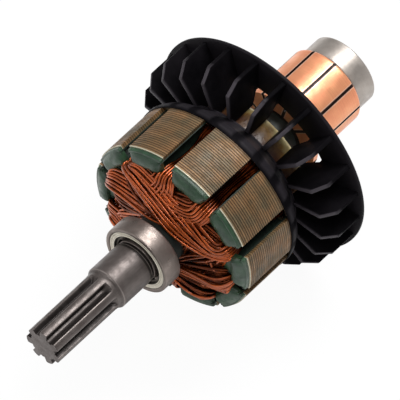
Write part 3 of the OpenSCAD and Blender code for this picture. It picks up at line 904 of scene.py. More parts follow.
@dataclass(frozen=True)
class LaminatedFinish(Finish):
    """Edges of punched sheets: each sheet has its own shade, with a dark line between sheets.

    Attributes:
        pitch: thickness of a sheet in metres.
        front: station of the front face in metres.
        cream: colour of the painted highlight along the front edge.
    """

    pitch: float = 0.00076
    front: float = 0.01275
    cream: Colour = (206, 200, 178)

    def colour(self, graph: Graph, marks: Socket) -> Socket:
        """Shades each sheet by its number, with joints between that darken blue most.

        Args:
            graph: the material's graph.
            marks: height of the fine marks.

        Returns:
            The colour.
        """
        station = graph.add("Shaft Place").outputs["Station"]
        sheet = graph.maths("DIVIDE", station, self.pitch)
        shade = graph.ramp(graph.shade_of(graph.maths("FLOOR", sheet)), 0.0, 1.0, 0.8, 1.15)
        off_middle = graph.maths("ABSOLUTE", graph.maths("SUBTRACT", graph.maths("FRACT", sheet), 0.5))
        level = graph.maths("MULTIPLY", shade, graph.ramp(off_middle, 0.18, 0.5, 1.0, 0.26))
        warm = graph.grey(level, graph.maths("POWER", level, 1.08), graph.maths("POWER", level, 1.25))
        colour = graph.blend(1.0, super().colour(graph, marks), warm, "MULTIPLY")
        # painted highlight along the core's front edge
        lip = graph.ramp(station, self.front + 0.0001, self.front + 0.0004, 0.85, 0.0)
        return graph.blend(lip, colour, rgba(self.cream))


SHAFT_STEEL = ToothedFinish(
    "shaft_steel", (98, 91, 88), (84, 76, 73), (126, 119, 116), metallic=0.6, roughness=0.42,
    lines=Lines.ALONG, line_pitch=0.0003, line_shade=0.1, line_depth=0.000004, scuffs=0.22,
)
BEARING_STEEL = Finish(
    "bearing_steel", (170, 162, 155), (152, 144, 137), (196, 190, 186), metallic=0.65, roughness=0.4,
    mottle_size=0.006, lines=Lines.ROUND, line_pitch=0.00012, line_shade=0.08, line_depth=0.000003,
    scuffs=0.1,
)
# front bearing's rings: a darker copy of the bearing steel, painted shade that tones down the lamp's
# highlight there
SHADED_RACE_STEEL = Finish(
    "shaded_race_steel", (134, 123, 117), (114, 104, 98), (172, 164, 158), metallic=0.75, roughness=0.36,
    mottle_size=0.006, lines=Lines.ROUND, line_pitch=0.00012, line_shade=0.08, line_depth=0.000003,
    scuffs=0.1,
)
SHIELD_STEEL = ShieldFinish(
    "shield_steel", (234, 227, 211), (204, 195, 176), (150, 140, 126), metallic=0.15, roughness=0.4,
    lines=Lines.FACE, line_pitch=0.00015, line_shade=0.1, line_depth=0.000004, mottle_size=0.003,
)
CAGE_STEEL = Finish(
    "cage_steel", (120, 114, 106), (95, 90, 84), (160, 155, 150), metallic=0.8, roughness=0.5,
)
BUSH_STEEL = Finish(
    "bush_steel", (130, 128, 125), (105, 103, 101), (170, 168, 166), metallic=0.8, roughness=0.45,
    lines=Lines.ROUND, line_shade=0.1, line_depth=0.000004,
)
GREEN_EPOXY = Finish(
    "green_epoxy", (42, 72, 48), (28, 52, 35), (92, 112, 90), roughness=0.45, roughness_spread=0.14,
    mottle_size=0.003, grain_size=0.0011, grain_depth=0.00012, scuffs=0.25, coat=0.15,
)
SLEEVE = Finish(
    "sleeve_insulation", (30, 38, 33), (20, 26, 22), (60, 68, 62), roughness=0.6, mottle_size=0.003,
)
LINER_PAPER = Finish(
    "liner_paper", (24, 42, 30), (14, 26, 19), (60, 74, 62), roughness=0.62, mottle_size=0.002,
    grain_size=0.0005, grain_depth=0.00006,
)
# enamel: the tint is the colour in the painted shade, where the tone is low
ENAMEL = EnamelFinish(
    "enamelled_copper", (204, 96, 32), (102, 40, 10), (44, 16, 6), metallic=0.78, roughness=0.34,
    mottle_size=0.0035, grain_size=0.0008, grain_depth=0.00002, scuffs=0.3, coat=0.5, coat_roughness=0.12,
)
LAMINATIONS = LaminatedFinish(
    "core_laminations", (138, 102, 64), (96, 84, 60), (150, 140, 122), metallic=0.25, roughness=0.55,
    mottle_size=0.006, lines=Lines.ALONG, line_pitch=0.0006, line_shade=0.06, scuffs=0.25,
)
# wrap: the tint is the colour of the painted shadow of the fan's hub
AMBER = VarnishFinish(
    "amber_varnish", (150, 112, 50), (70, 36, 18), (170, 150, 96), roughness=0.4,
    grain_size=0.0015, grain_depth=0.0003, scuffs=0.4, coat=0.3,
)
# fan plastic: the tint is the painted shade on the sides, the base the painted highlight on the edges
FAN_PLASTIC = TonedFinish(
    "fan_plastic", (70, 65, 71), (3, 3, 4), (14, 14, 15), roughness=0.5, roughness_spread=0.06,
    mottle_size=0.01, grain_size=0.00035, scuffs=0.12, specular=0.25,
)
TRACK_COPPER = SegmentFinish(
    "commutator_copper", (234, 164, 118), (224, 144, 106), (190, 116, 86), metallic=0.5, roughness=0.4,
    mottle_size=0.007, lines=Lines.ROUND, line_pitch=0.00022, line_shade=0.1, line_depth=0.000006,
    scuffs=0.15,
)
REAR_RING = Finish(
    "rear_ring", (118, 104, 80), (86, 74, 56), (150, 138, 112), roughness=0.55, mottle_size=0.003,
)
RESIN = Finish("commutator_resin", (34, 22, 18), (22, 16, 14), (50, 40, 34), roughness=0.6)


# ---------------------------------------------------------------- sub-assemblies


@dataclass(frozen=True)
class Extent:
    """How far a CAD node reaches in the shaft's own frame.

    Attributes:
        front: station of its front end.
        rear: station of its rear end.
        radius: its outer radius.
    """

    front: float
    rear: float
    radius: float

    @classmethod
    def of(cls, node: str) -> "Extent":
        """Reads a round node's box from the frame, to a tenth of a micrometre.

        Args:
            node: name of the node.

        Returns:
            Its extent.
        """
        low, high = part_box(node)
        front, rear, radius = (round(metres / MM, 4) for metres in (-low[1], -high[1], high[0]))
        return cls(front, rear, radius)


def dress(piece: bpy.types.Object, finish: Finish, node: str, body: str = ROTOR) -> None:
    """Gives a piece its finish and its body, and hides the node that it stands for.

    Args:
        piece: the object.
        finish: its finish.
        node: the node that it replaces.
        body: the body that carries it.
    """
    piece.data.materials.append(finish.material())
    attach(piece, body)
    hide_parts(node)
    LOG.info("%s: %d faces", piece.name, len(piece.data.polygons))


@dataclass
class Shaft:
    """Turned shaft with a collar and a milled pinion of seven teeth.

    Attributes:
        rear: station of the rear end.
        journal_front: station of the shoulder that the rear bearing sits against.
        collar_rear: station of the collar's end at the front bearing.
        collar_r: radius of the collar.
        tip: station of the pinion's end.
        journal_r: radius of the rear journal.
        body_r: radius inside the core.
        collar_front: station where the collar ends.
        groove_depth: depth of the groove at the collar's rear end.
        groove_l: length of that groove.
        tip_r: radius over the teeth.
        root_r: radius of the valleys' floor.
        phase: angle of the first valley in degrees.
        flank_start: share of half a pitch up to which a valley is level.
        flank_end: share where a tooth's land starts.
        uncut_l: length in front of the collar before the cut starts.
        runout_l: length over which the cut reaches its depth.
    """

    rear: float
    journal_front: float
    collar_rear: float
    collar_r: float
    tip: float
    journal_r: float = 4.0
    body_r: float = 5.0
    collar_front: float = 15.4
    groove_depth: float = 0.2
    groove_l: float = 0.8
    tip_r: float = 6.0
    root_r: float = 4.25
    teeth: int = 7
    phase: float = 11.1
    flank_start: float = 0.34
    flank_end: float = 0.6
    chamfer: float = 0.4
    uncut_l: float = 1.7
    runout_l: float = 2.0

    def section(self) -> tuple[np.ndarray, np.ndarray, np.ndarray]:
        """Works out one turn round the pinion.

        With a share of 0 in a valley's middle and 1 in a tooth's, the depth falls from 1 at the flank's
        start to 0 at its end on half a cosine. The valley's floor rises by 0.08 in its middle, and the
        land's edge is 0.06 deep.

        Returns:
            Angle in degrees, depth as a share of the cut, and tone of each point, which holds painted shade
            and highlights.
        """
        half = np.array([0.0, 0.12, 0.24, 0.34, 0.38, 0.42, 0.46, 0.5, 0.54, 0.57, 0.6, 0.66, 0.74, 0.87])
        place = np.concatenate([half, [1.0], -half[:0:-1]])
        pitch = 360 / self.teeth
        valley = self.phase + np.arange(self.teeth)[:, None] * pitch
        angle = (valley + place * pitch / 2 + np.where(place < 0, pitch, 0.0)).ravel()
        share = np.tile(np.abs(place), self.teeth)
        flank = np.clip((share - self.flank_start) / (self.flank_end - self.flank_start), 0, 1)
        floor = 0.08 * np.clip(1 - share / 0.3, 0, 1)
        land = 0.06 * np.clip((0.8 - share) / 0.2, 0, 1) * (share > 0.55)
        depth = np.clip(0.5 + 0.5 * np.cos(np.pi * flank) - floor + land, 0.0, 1.0)
        # tones: painted shade in the valleys, painted highlights at the lands' edges
        shade_to_highlight = [0.26, 0.2, 0.0, 0.05, 0.48, 0.7, 0.58, 0.5, 0.5]
        tone = np.interp(share, [0.0, 0.2, 0.36, 0.5, 0.56, 0.6, 0.66, 0.74, 1.0], shade_to_highlight)
        return angle, depth, tone

    def lathe_work(self) -> np.ndarray:
        """Shaft and collar before the cut, from the rear.

        Returns:
            (n, 3) rows of station, radius and tone, the tone holding painted shade and highlights.
        """
        behind, front = self.collar_rear, self.collar_front
        full = self.collar_r
        sunk = full - self.groove_depth
        # third column is the tone: below 0.5 painted shade, above it painted highlight, as on the rear
        # chamfer
        journal = [
            [self.rear, self.journal_r - self.chamfer, 0.8],
            [self.rear + self.chamfer, self.journal_r, 0.6],
            [self.journal_front, self.journal_r, 0.5],
            [self.journal_front + 0.02, self.body_r, 0.5],
            [behind, self.body_r, 0.4],
        ]
        # painted shade in the groove beside the bearing and in a band past a thin painted highlight ring,
        # painted highlight on the front edge
        collar = [
            [behind + 0.02, sunk, 0.0],
            [behind + self.groove_l, sunk, 0.0],
            [behind + self.groove_l + 0.05, full - 0.03, 0.9],
            [behind + self.groove_l + 0.15, full, 0.95],
            [behind + 1.1, full, 0.06],
            [behind + 1.7, full, 0.12],
            [behind + 1.9, full, 0.5],
            [front - 0.5, full, 0.5],
            [front - 0.3, full, 0.65],
            [front - 0.1, full - 0.12, 0.75],
            [front + 0.05, full - 0.3, 0.55],
        ]
        fillet = [
            [front + 0.25, self.tip_r + 0.42, 0.45],
            [front + 0.55, self.tip_r + 0.12, 0.42],
            [front + 1.0, self.tip_r, 0.5],
        ]
        return np.array(journal + collar + fillet)

    def build(self) -> None:
        """Makes the shaft as one lofted surface; the cut deepens on a quarter sine over the run-out."""
        start = self.collar_front + self.uncut_l
        runout = start + self.runout_l * np.linspace(0.0, 1.0, 9)
        cut = np.append(runout, [self.tip - 0.25, self.tip - 0.08, self.tip])
        pinion = np.stack([cut, np.full(len(cut), self.tip_r), np.full(len(cut), PLAIN_TONE)], axis=1)
        pinion[-1, 1] -= 0.1
        station, full_r, plain = np.concatenate([self.lathe_work(), pinion]).T[:, :, None]
        grown = np.sin(np.clip((station - start) / self.runout_l, 0, 1) * np.pi / 2)
        angle, depth, tone = self.section()
        radius = full_r - (self.tip_r - self.root_r) * grown * depth
        tones = plain + (tone - plain) * grown**0.7
        tones[-1] = PLAIN_TONE
        shape = Shape("turned_shaft")
        shape.add_lofted(polar(radius, angle, station), tones)
        dress(shape.build(32), SHAFT_STEEL, "shaft")


@dataclass(frozen=True)
class Side:
    """One side of a coil in its slot, and the way that it heads over the core's end.

    Attributes:
        layer: 0 for the coils wound last.
        turn: +1 or -1, the way round to the coil's other side.
        half_w: half of the bundle's width at the slot's mouth.
        start: middle of the side, at station 0.
        middle: middle of the end turn, at station 0.
        radial: direction away from the shaft.
        tangent: direction round the shaft.
    """

    layer: int
    turn: int
    half_w: float
    start: np.ndarray
    middle: np.ndarray
    radial: np.ndarray
    tangent: np.ndarray


@dataclass(frozen=True)
class Bundle:
    """Places of a coil's wires in its bundle, as columns that spread over the points along a path.

    Attributes:
        u: (wires, 1) place across the bundle, -1 to 1.
        v: (wires, 1) place through the bundle, -1 to 1.
        spread: (wires, 1) how much wider the row leaves its slot.
    """

    u: np.ndarray
    v: np.ndarray
    spread: np.ndarray


@dataclass
class Winding:
    """Ten coils of round wire, each a loop through two slots, in five layers of end turns.

    A coil is a bundle of rows and columns of wires. Each wire keeps a place (u, v) in the bundle, which
    widens from the slot to the middle of the end turn and twists a little, so that wires cross over.
    Deeper rows leave the slot splayed by a share of their width.

    Attributes:
        core_middle: station of the core's middle, where the front and the rear half meet.
        throw: number of slots from one side of a coil to the other.
        tooth_phase: angle in degrees of a tooth's middle.
        mouth: station where the wires leave the slot.
        inner_r: radius of a side at the bottom of its slot.
        outer_r: radius of a side at the slot's mouth.
        middle_r: radius of the end turn's middle, for each layer.
        top: station of the end turn's highest point, for each layer.
        shoulder: station of the bend over the core's end, for each layer.
        sink: how much deeper the wires lie inside the slot.
        tilt: slope across the end turn.
        twist: turn of the bundle in radians from the slot to the middle.
        looseness: how far a wire strays from its place.
    """

    core_middle: float
    slots: int = 10
    throw: int = 3
    tooth_phase: float = 3.7
    mouth: float = -13.4
    inner_r: float = 17.6
    outer_r: float = 21.2
    side_half_t: float = 1.4
    inner_half_w: float = 1.7
    outer_half_w: float = 2.6
    exit_half_w: float = 3.8
    middle_half_w: float = 4.3
    exit_half_t: float = 2.2
    middle_half_t: float = 1.1
    middle_r: tuple[float, ...] = (13.6, 12.0, 10.9, 10.7, 11.0)
    top: tuple[float, ...] = (-7.2, -8.0, -8.8, -9.6, -10.3)
    shoulder: tuple[float, ...] = (-9.4, -9.6, -10.1, -10.7, -11.2)
    sink: float = 1.3
    tilt: float = 0.5
    twist: float = 0.75
    splay: float = 0.7
    wire_d: float = 0.8
    columns: int = 7
    rows: int = 4
    # painted shade of each row of wires: deeper rows are darker
    row_light: tuple[float, ...] = (1.0, 0.62, 0.32, 0.22)
    looseness: float = 0.22
    sides: int = 7
    samples: int = 6
    seed: int = 11

    def side(self, layer: int, slot: int, outer: bool, turn: int) -> Side:
        """Places one side of a coil.

        Args:
            layer: 0 for the coils wound last.
            slot: number of the slot.
            outer: whether the side lies at the slot's mouth.
            turn: +1 or -1, the way round to the other side.

        Returns:
            The side.
        """
        angle = self.tooth_phase + (slot + 0.5) * 360 / self.slots
        radial = polar(1.0, angle, 0.0)
        return Side(
            layer=layer,
            turn=turn,
            half_w=self.outer_half_w if outer else self.inner_half_w,
            start=(self.outer_r if outer else self.inner_r) * radial,
            middle=polar(self.middle_r[layer], angle + turn * self.throw * 180 / self.slots, 0.0),
            radial=radial,
            tangent=polar(1.0, angle + turn * 90, 0.0),
        )

    def bundle(self) -> Bundle:
        """Places the wires in rows, with every second row shifted by half a wire.

        Returns:
            The bundle.
        """
        row, column = np.divmod(np.arange(self.columns * self.rows), self.columns)
        u = (column + 0.5 * (row % 2)) / (self.columns - 0.5) * 2 - 1
        v = 1.0 - 2.0 * row / (self.rows - 1)
        return Bundle(u[:, None], v[:, None], (1 + self.splay * (1 - v) / 2)[:, None])

    def leg(self, side: Side, wires: Bundle) -> tuple[np.ndarray, np.ndarray]:
        """Control points in the slot, narrower and deeper towards the core's middle.

        Args:
            side: the coil's side.
            wires: places of the wires.

        Returns:
            (wires, 4, 3) points and (4, 3) directions through the bundle.
        """
        station = np.array([self.core_middle, self.core_middle + 4.5, self.mouth - 1.8, self.mouth])
        depth = np.array([1.0, 0.7, 0.0, 0.0])[:, None]
        centre = side.start + AXIS * station[:, None] - side.radial * self.sink * depth
        across = wires.u[..., None] * side.half_w * side.tangent * (1 - 0.35 * depth)
        points = centre + (across + wires.v[..., None] * self.side_half_t * side.radial)
        return points, np.repeat(side.radial[None], len(station), axis=0)

    def bend(self, side: Side, wires: Bundle) -> tuple[np.ndarray, np.ndarray]:
        """Control point where a wire bends over the core's end, leaning outwards.

        Args:
            side: the coil's side.
            wires: places of the wires.

        Returns:
            (wires, 1, 3) points and (1, 3) directions through the bundle.
        """
        lean = unit(side.radial + 0.6 * AXIS)
        centre = side.start + AXIS * (self.shoulder[side.layer] - 1.5)
        half_w = (side.half_w + self.exit_half_w) / 2
        points = centre + wires.u * wires.spread * half_w * side.tangent + wires.v * self.exit_half_t * lean
        return points[:, None], lean[None]

    def end_turn(self, side: Side, wires: Bundle) -> tuple[np.ndarray, np.ndarray]:
        """Control points from the bend to the end turn's middle.

        With a share s from 0 at the slot to 1 in the middle, the height is top - (top - shoulder) *
        (1 - s)^1.7, and the bundle is turned by twist * (1 - s) and flattened at its edges.

        Args:
            side: the coil's side.
            wires: places of the wires.

        Returns:
            (wires, 4, 3) points and (4, 3) directions through the bundle.
        """
        share = np.array([0.1, 0.34, 0.64, 0.88])
        top, shoulder = self.top[side.layer], self.shoulder[side.layer]
        width = np.interp(share, [0, 0.64], [self.exit_half_w, self.middle_half_w])
        thick = np.interp(share, [0, 0.64], [self.exit_half_t, self.middle_half_t])
        centre = side.start + (side.middle - side.start) * share[:, None]
        centre[:, 2] = top - (top - shoulder) * (1 - share) ** 1.7 - self.middle_half_t
        lean = self.twist * side.turn * (1 - share)
        wide = wires.u * np.cos(lean) - wires.v * np.sin(lean)
        deep = wires.v * np.cos(lean) + wires.u * np.sin(lean)
        deep = deep * np.sqrt(1 - 0.55 * np.minimum(1, wide**2)) * thick
        wide = wide * (1 + (wires.spread - 1) * (1 - share)) * width
        ahead = unit(side.middle - side.start)
        across = side.turn * np.array([ahead[1], -ahead[0], 0.0])
        sideways = across - AXIS * self.tilt * np.interp(share, [0, 1], [0.3, 1.0])[:, None]
        upward = unit(AXIS + self.tilt * across)
        points = centre + wide[..., None] * sideways + deep[..., None] * upward
        return points, np.repeat(upward[None], len(share), axis=0)

    def half_turn(self, side: Side, wires: Bundle) -> tuple[np.ndarray, np.ndarray]:
        """Control points of every wire from the slot's middle to the middle of the end turn.

        Args:
            side: the coil's side.
            wires: places of the wires.

        Returns:
            (wires, 9, 3) points and (9, 3) directions through the bundle.
        """
        stretches = [self.leg(side, wires), self.bend(side, wires), self.end_turn(side, wires)]
        points = np.concatenate([points for points, _ in stretches], axis=1)
        return points, np.concatenate([ups for _, ups in stretches])

    def strayed(self, control: np.ndarray, random: np.random.Generator) -> np.ndarray:
        """Lets each wire stray from its place by a sum of slow waves, less inside the slots.

        Args:
            control: (wires, controls, 3) points.
            random: source of the waves' strengths and phases.

        Returns:
            Points of the same shape.
        """
        wires, count, _ = control.shape
        orders = np.array([2, 3, 4, 5, 6])
        round_coil = orders[:, None] * np.arange(count) / count * 2 * np.pi
        strength = random.normal(0, 1, (wires, len(orders), 3)) / orders[None, :, None] ** 0.35
        waves = np.sin(round_coil + random.uniform(0, 6.3, (len(orders), 1)))
        shift = np.einsum("wkd,kn->wnd", strength, waves)
        reach = np.abs(control[..., 2:] - self.core_middle)
        free = np.clip((reach - 6.0) / 5.0, 0.25, 1.0)
        return control + shift * free * self.looseness * np.array([1.0, 1.0, 0.7])

    def coil_paths(self, number: int) -> tuple[np.ndarray, np.ndarray]:
        """Smooth closed paths of a coil's wires; the rear half mirrors the front one.

        Args:
            number: coil number, 0 to 9.

        Returns:
            (wires, stations, 3) centres and directions through the bundle.
        """
        half = self.slots // 2
        layer = number // 2
        base = layer + half * (number % 2)
        first_outer = layer < (layer + self.throw) % half
        last_outer = layer < (layer + half - self.throw) % half
        wires = self.bundle()
        first, first_up = self.half_turn(self.side(layer, base + self.throw, first_outer, -1), wires)
        last, last_up = self.half_turn(self.side(layer, base, last_outer, 1), wires)
        front = np.concatenate([first, last[:, ::-1]], axis=1)
        front_up = np.concatenate([first_up, last_up[::-1]])
        mirror = np.array([1.0, 1.0, -1.0])
        rear = front[:, ::-1] * mirror + 2 * self.core_middle * AXIS
        control = np.concatenate([front, rear[:, 1:-1]], axis=1)
        ups = np.concatenate([front_up, (front_up[::-1] * mirror)[1:-1]])
        control = self.strayed(control, np.random.default_rng(self.seed + number))
        directions = closed_spline(np.broadcast_to(ups, control.shape).copy(), self.samples)
        return closed_spline(control, self.samples), unit(directions)

    def wire_tones(self, paths: np.ndarray, random: np.random.Generator) -> np.ndarray:
        """Tone of each point: its own by wire, with painted shade in deeper rows, in the slots and on a
        wire's underside, and a painted highlight along its top.

        Args:
            paths: (wires, stations, 3) centres.
            random: source of the wires' own tones.

        Returns:
            (wires, stations, sides) tones.
        """
        row = np.arange(len(paths)) // self.columns
        # painted shade: deeper rows darker, times each wire's own tone
        lit = random.uniform(0.6, 1, len(paths)) * np.array(self.row_light)[row]
        # painted shade inside the slots
        outside = np.clip((np.abs(paths[..., 2] - self.core_middle) - 5.5) / 5.0, 0.0, 1.0)
        # painted highlight on each wire's top, painted shade on its underside
        around = 0.52 + 0.56 * np.cos(np.linspace(0, 2 * np.pi, self.sides, endpoint=False))
        along = lit[:, None] * (0.08 + 0.92 * outside)
        return along[..., None] * np.clip(around, 0.12, 1.0)

    def build(self) -> None:
        """Makes one piece for each coil."""
        random = np.random.default_rng(self.seed)
        for number in range(self.slots):
            node = f"coil_{number + 1:02d}"
            paths, ups = self.coil_paths(number)
            shape = Shape(node + "_wires")
            rings = tube_rings(paths, ups, self.wire_d / 2, self.sides)
            shape.add_closed_tubes(rings, self.wire_tones(paths, random))
            dress(shape.build(80), ENAMEL, node)


@dataclass
class FrontCap:
    """Moulded insulation on the core's front: a star-shaped sheet with a soft lobe over each tooth tip.

    Attributes:
        core_front: station of the core's front face.
        phase: angle in degrees of a tooth's middle.
        rim_r: outer radius of the lobes.
        wall_r: inner radius of the lobes.
        floor_r: radius at which the necks meet.
        seat: how far the cap reaches into the core's face.
    """

    core_front: float
    teeth: int = 10
    phase: float = 3.7
    sheet_t: float = 1.2
    rim_r: float = 27.3
    wall_r: float = 22.2
    floor_r: float = 16.2
    neck_r: float = 24.4
    tip_inner_r: float = 25.2
    neck_half_w: float = 2.6
    lobe_h: float = 2.6
    lobe_half_angle: float = 13.6
    seat: float = 0.05

    def lobe_rings(self) -> np.ndarray:
        """One lobe on a tooth that lies along x, as loops across the tooth.

        A loop's height is its share of the lobe's height times (1 - a^6)^0.5, where a runs from -1 to 1
        across the tooth, so that the lobe fades at its two ends.

        Returns:
            (loops, points, 3) points.
        """
        section = np.array([
            [1.0, 0.0], [0.995, 0.1], [0.93, 0.36], [0.8, 0.64], [0.62, 0.86], [0.44, 0.98], [0.28, 1.0],
            [0.13, 0.9], [0.04, 0.66], [0.0, 0.3], [0.0, 0.0],
        ])
        across = np.sin(np.radians(np.linspace(-88, 88, 33)))
        height = self.lobe_h * np.sqrt(1 - np.abs(across) ** 6)[:, None] * section[:, 1]
        radius = self.wall_r + (self.rim_r - self.wall_r) * section[:, 0]
        station = self.core_front + height - self.seat * (section[:, 1] == 0)
        return polar(radius[None], across[:, None] * self.lobe_half_angle, station)

    def sheet_outline(self) -> np.ndarray:
        """Outline of the sheet in plan: necks with wider tips, rounded at the corners.

        Returns:
            (n, 2) points.
        """
        tip = self.lobe_half_angle
        arc = polar(self.rim_r - 0.1, np.linspace(-tip, tip, 9), 0.0)[:, :2]
        under = polar(self.tip_inner_r, np.array([-tip, tip]), 0.0)[:, :2]
        neck = np.array([[self.floor_r, -self.neck_half_w], [self.neck_r, -self.neck_half_w]])
        tooth = np.concatenate([neck, under[:1], arc, under[1:], neck[::-1] * [1, -1]])
        return rounded_profile(np.concatenate([tooth @ turn[:2, :2] for turn in self.turns()]), 0.5, 2)

    def turns(self) -> list[np.ndarray]:
        """Matrices that turn the tooth along x to each tooth's place."""
        return [turned(self.phase + tooth * 360 / self.teeth) for tooth in range(self.teeth)]

    def sheet_rings(self) -> np.ndarray:
        """The sheet as stacked outlines, with a rounded upper edge.

        Returns:
            (loops, points, 3) points.
        """
        outline = self.sheet_outline()
        along = unit(np.roll(outline, -1, axis=0) - np.roll(outline, 1, axis=0))
        inward = np.stack([-along[:, 1], along[:, 0]], axis=-1)
        top = self.sheet_t
        height, inset = np.array([[-self.seat, 0.0], [top - 0.25, 0.0], [top - 0.07, 0.07], [top, 0.25]]).T
        plan = outline + inward * inset[:, None, None]
        level = np.broadcast_to(self.core_front + height[:, None, None], (*plan.shape[:2], 1))
        return np.concatenate([plan, level], axis=-1)

    def build(self) -> None:
        """Makes the cap as one piece."""
        shape = Shape("front_cap")
        shape.add_lofted(self.sheet_rings())
        rings = self.lobe_rings()
        for turn in self.turns():
            shape.add_lofted(rings @ turn)
        dress(shape.build(50), GREEN_EPOXY, "front_end_insulation")


@dataclass
class Fan:
    """Moulded fan: a hub that narrows to a neck, radial blades with a cut corner, and a dished plate.

    Attributes:
        rim_r: outer radius of the plate.
        plate_rear: station of the plate's rear face at its rim.
        hub_front: station of the hub's front end, under its lip.
        wrap_rear: station up to which the blades clear the wrapped leads.
        hole_r: radius of the plate's hole.
        dish: how far the plate's middle lies in front of its rim.
        phase: angle in degrees of a blade's middle.
        inset: how far the blades end inside the rim.
        blade_front: station of the blades' front edge.
        cut_l: length of the cut corner along the shaft.
        cut_w: length of the cut corner across the shaft.
        cap_rear: station where the hub's straight part ends.
        lip_front: front end of the lip over the core's rear edge.
        neck_r: radius of the neck behind the blades' front edge.
        inner_r: radius to which the blades reach over the wrapped leads.
        edge: radius of the blades' rounded edges.
    """

    rim_r: float
    plate_rear: float
    hub_front: float
    wrap_rear: float
    hole_r: float = 25.1
    plate_t: float = 1.3
    dish: float = 0.9
    blades: int = 22
    blade_t: float = 1.25
    phase: float = -4.6
    inset: float = 0.8
    blade_front: float = -37.25
    cut_l: float = 4.1
    cut_w: float = 3.3
    hub_r: float = 25.4
    hub_t: float = 1.5
    cap_rear: float = -34.45
    lip_front: float = -29.9
    lip_inner_r: float = 27.62
    lip_r: float = 27.85
    neck_r: float = 22.7
    neck_l: float = 0.8
    inner_r: float = 20.1
    edge: float = 0.28
    edge_angles: tuple[float, ...] = (30, 60, 85)
    # tone of the painted shade on the blades' sides and on the hub
    dark: float = 0.03

    @property
    def plate_front(self) -> float:
        """Station of the plate's front face."""
        return self.plate_rear + self.plate_t

    @property
    def neck_rear(self) -> float:
        """Station of the neck's rear end."""
        return self.blade_front - self.neck_l

    @property
    def cut_start(self) -> float:
        """Station where the cut corner starts."""
        return self.blade_front - self.cut_l

    def blade_stations(self) -> np.ndarray:
        """Stations of a blade's loops: close at its root, at the cut corner and over the front edge.

        Returns:
            (n,) stations.
        """
        root = np.array([-0.2, 0.0, 0.25, 0.6, 1.1, 1.7, 2.3, 2.9, 3.5, 5.0, 7.0]) + self.plate_front
        rise = np.linspace(self.cut_start, self.neck_rear - 0.4, 5)
        quarter = np.radians((0, *self.edge_angles))
        over = self.blade_front - self.edge + self.edge * np.sin(quarter)
        neck = [self.neck_rear, self.neck_rear + 0.1]
        return np.concatenate([root[root < self.cut_start - 0.3], rise, neck, over])

    def blade_reach(self, station: np.ndarray) -> np.ndarray:
        """Radius at which a blade starts: at the plate's hole, over the leads and under the neck.

        Args:
            station: stations of the blade's loops.

        Returns:
            The radius at each station.
        """
        ways = np.array([
            [self.plate_front, self.hole_r],
            [self.wrap_rear - self.hub_t, self.hole_r],
            [self.wrap_rear, self.inner_r],
            [self.neck_rear - 0.4, self.inner_r],
            [self.neck_rear, self.neck_r - self.hub_t / 2],
        ])
        return np.interp(station, ways[:, 0], ways[:, 1]) + 0.1

    def blade_rings(self) -> tuple[np.ndarray, np.ndarray]:
        """One blade as stacked loops: at each station a rounded strip from the inner to the outer radius.

        The thickness grows towards the plate as t * (1 + 0.5 * exp(-d / 1.1)), d being the distance
        from the plate, and the last loops close over the front edge on a quarter circle.

        Returns:
            (stations, points, 3) points of a blade that lies along x, and the tone of each point: a painted
            highlight on the front edge and on the cut corner, painted shade on the sides.
        """
        station = self.blade_stations()
        closing = self.edge * (1 - np.cos(np.radians(self.edge_angles)))
        shrink = np.concatenate([np.zeros(len(station) - len(closing)), closing])
        cut = self.cut_w * np.clip((station - self.cut_start) / self.cut_l, 0, 1)
        outer = self.rim_r - self.inset - cut - shrink
        inner = self.blade_reach(station)
        half = self.blade_t / 2 * (1 + 0.5 * np.exp(-(station - self.plate_front) / 1.1)) - shrink
        corner = np.minimum(self.edge, half * 0.8)[:, None]
        arc = np.radians(np.linspace(0, 90, 4))
        outline = []
        for side, way, sweep in ((1, -1, arc[::-1]), (1, 1, arc), (-1, 1, arc[::-1]), (-1, -1, arc)):
            x = (outer if side > 0 else inner)[:, None] - side * corner * (1 - np.cos(sweep))
            y = way * (half[:, None] - corner * (1 - np.sin(sweep)))
            outline.append(np.stack([x, y, np.broadcast_to(station[:, None], x.shape)], axis=-1))
        return np.concatenate(outline, axis=1), self.blade_tones(station, arc)

    def blade_tones(self, station: np.ndarray, arc: np.ndarray) -> np.ndarray:
        """Tone of a blade's points: a painted highlight on the front edge and on the cut corner's strip,
        painted shade elsewhere.

        Args:
            station: stations of the loops.
            arc: angles of a corner's points in radians.

        Returns:
            (stations, points) tones.
        """
        front = np.clip((station - self.blade_front + self.edge + 0.01) / self.edge, 0, 1) ** 0.5
        cut = np.clip((station - self.cut_start + 0.05) / 0.1, 0, 1)
        strip = np.clip(np.cos(arc) * 1.8 - 0.4, 0, 1)
        on_rim = np.concatenate([strip[::-1], strip, 0 * arc, 0 * arc])
        return np.maximum(front[:, None], cut[:, None] * on_rim) * 0.75 + self.dark

    def plate_profile(self) -> np.ndarray:
        """Section of the dished plate.

        Returns:
            (n, 2) points of radius and station.
        """
        shoulder = self.rim_r - 3 * self.inset
        corners = np.array([
            [self.hole_r, self.plate_rear + self.dish],
            [shoulder, self.plate_rear + self.dish / 2],
            [self.rim_r - self.plate_t / 2, self.plate_rear],
            [self.rim_r, self.plate_rear + self.plate_t / 3],
            [self.rim_r, self.plate_front],
            [shoulder, self.plate_front + self.dish / 2],
            [self.hole_r, self.plate_front + self.dish],
        ])
        return rounded_profile(corners, 0.3)

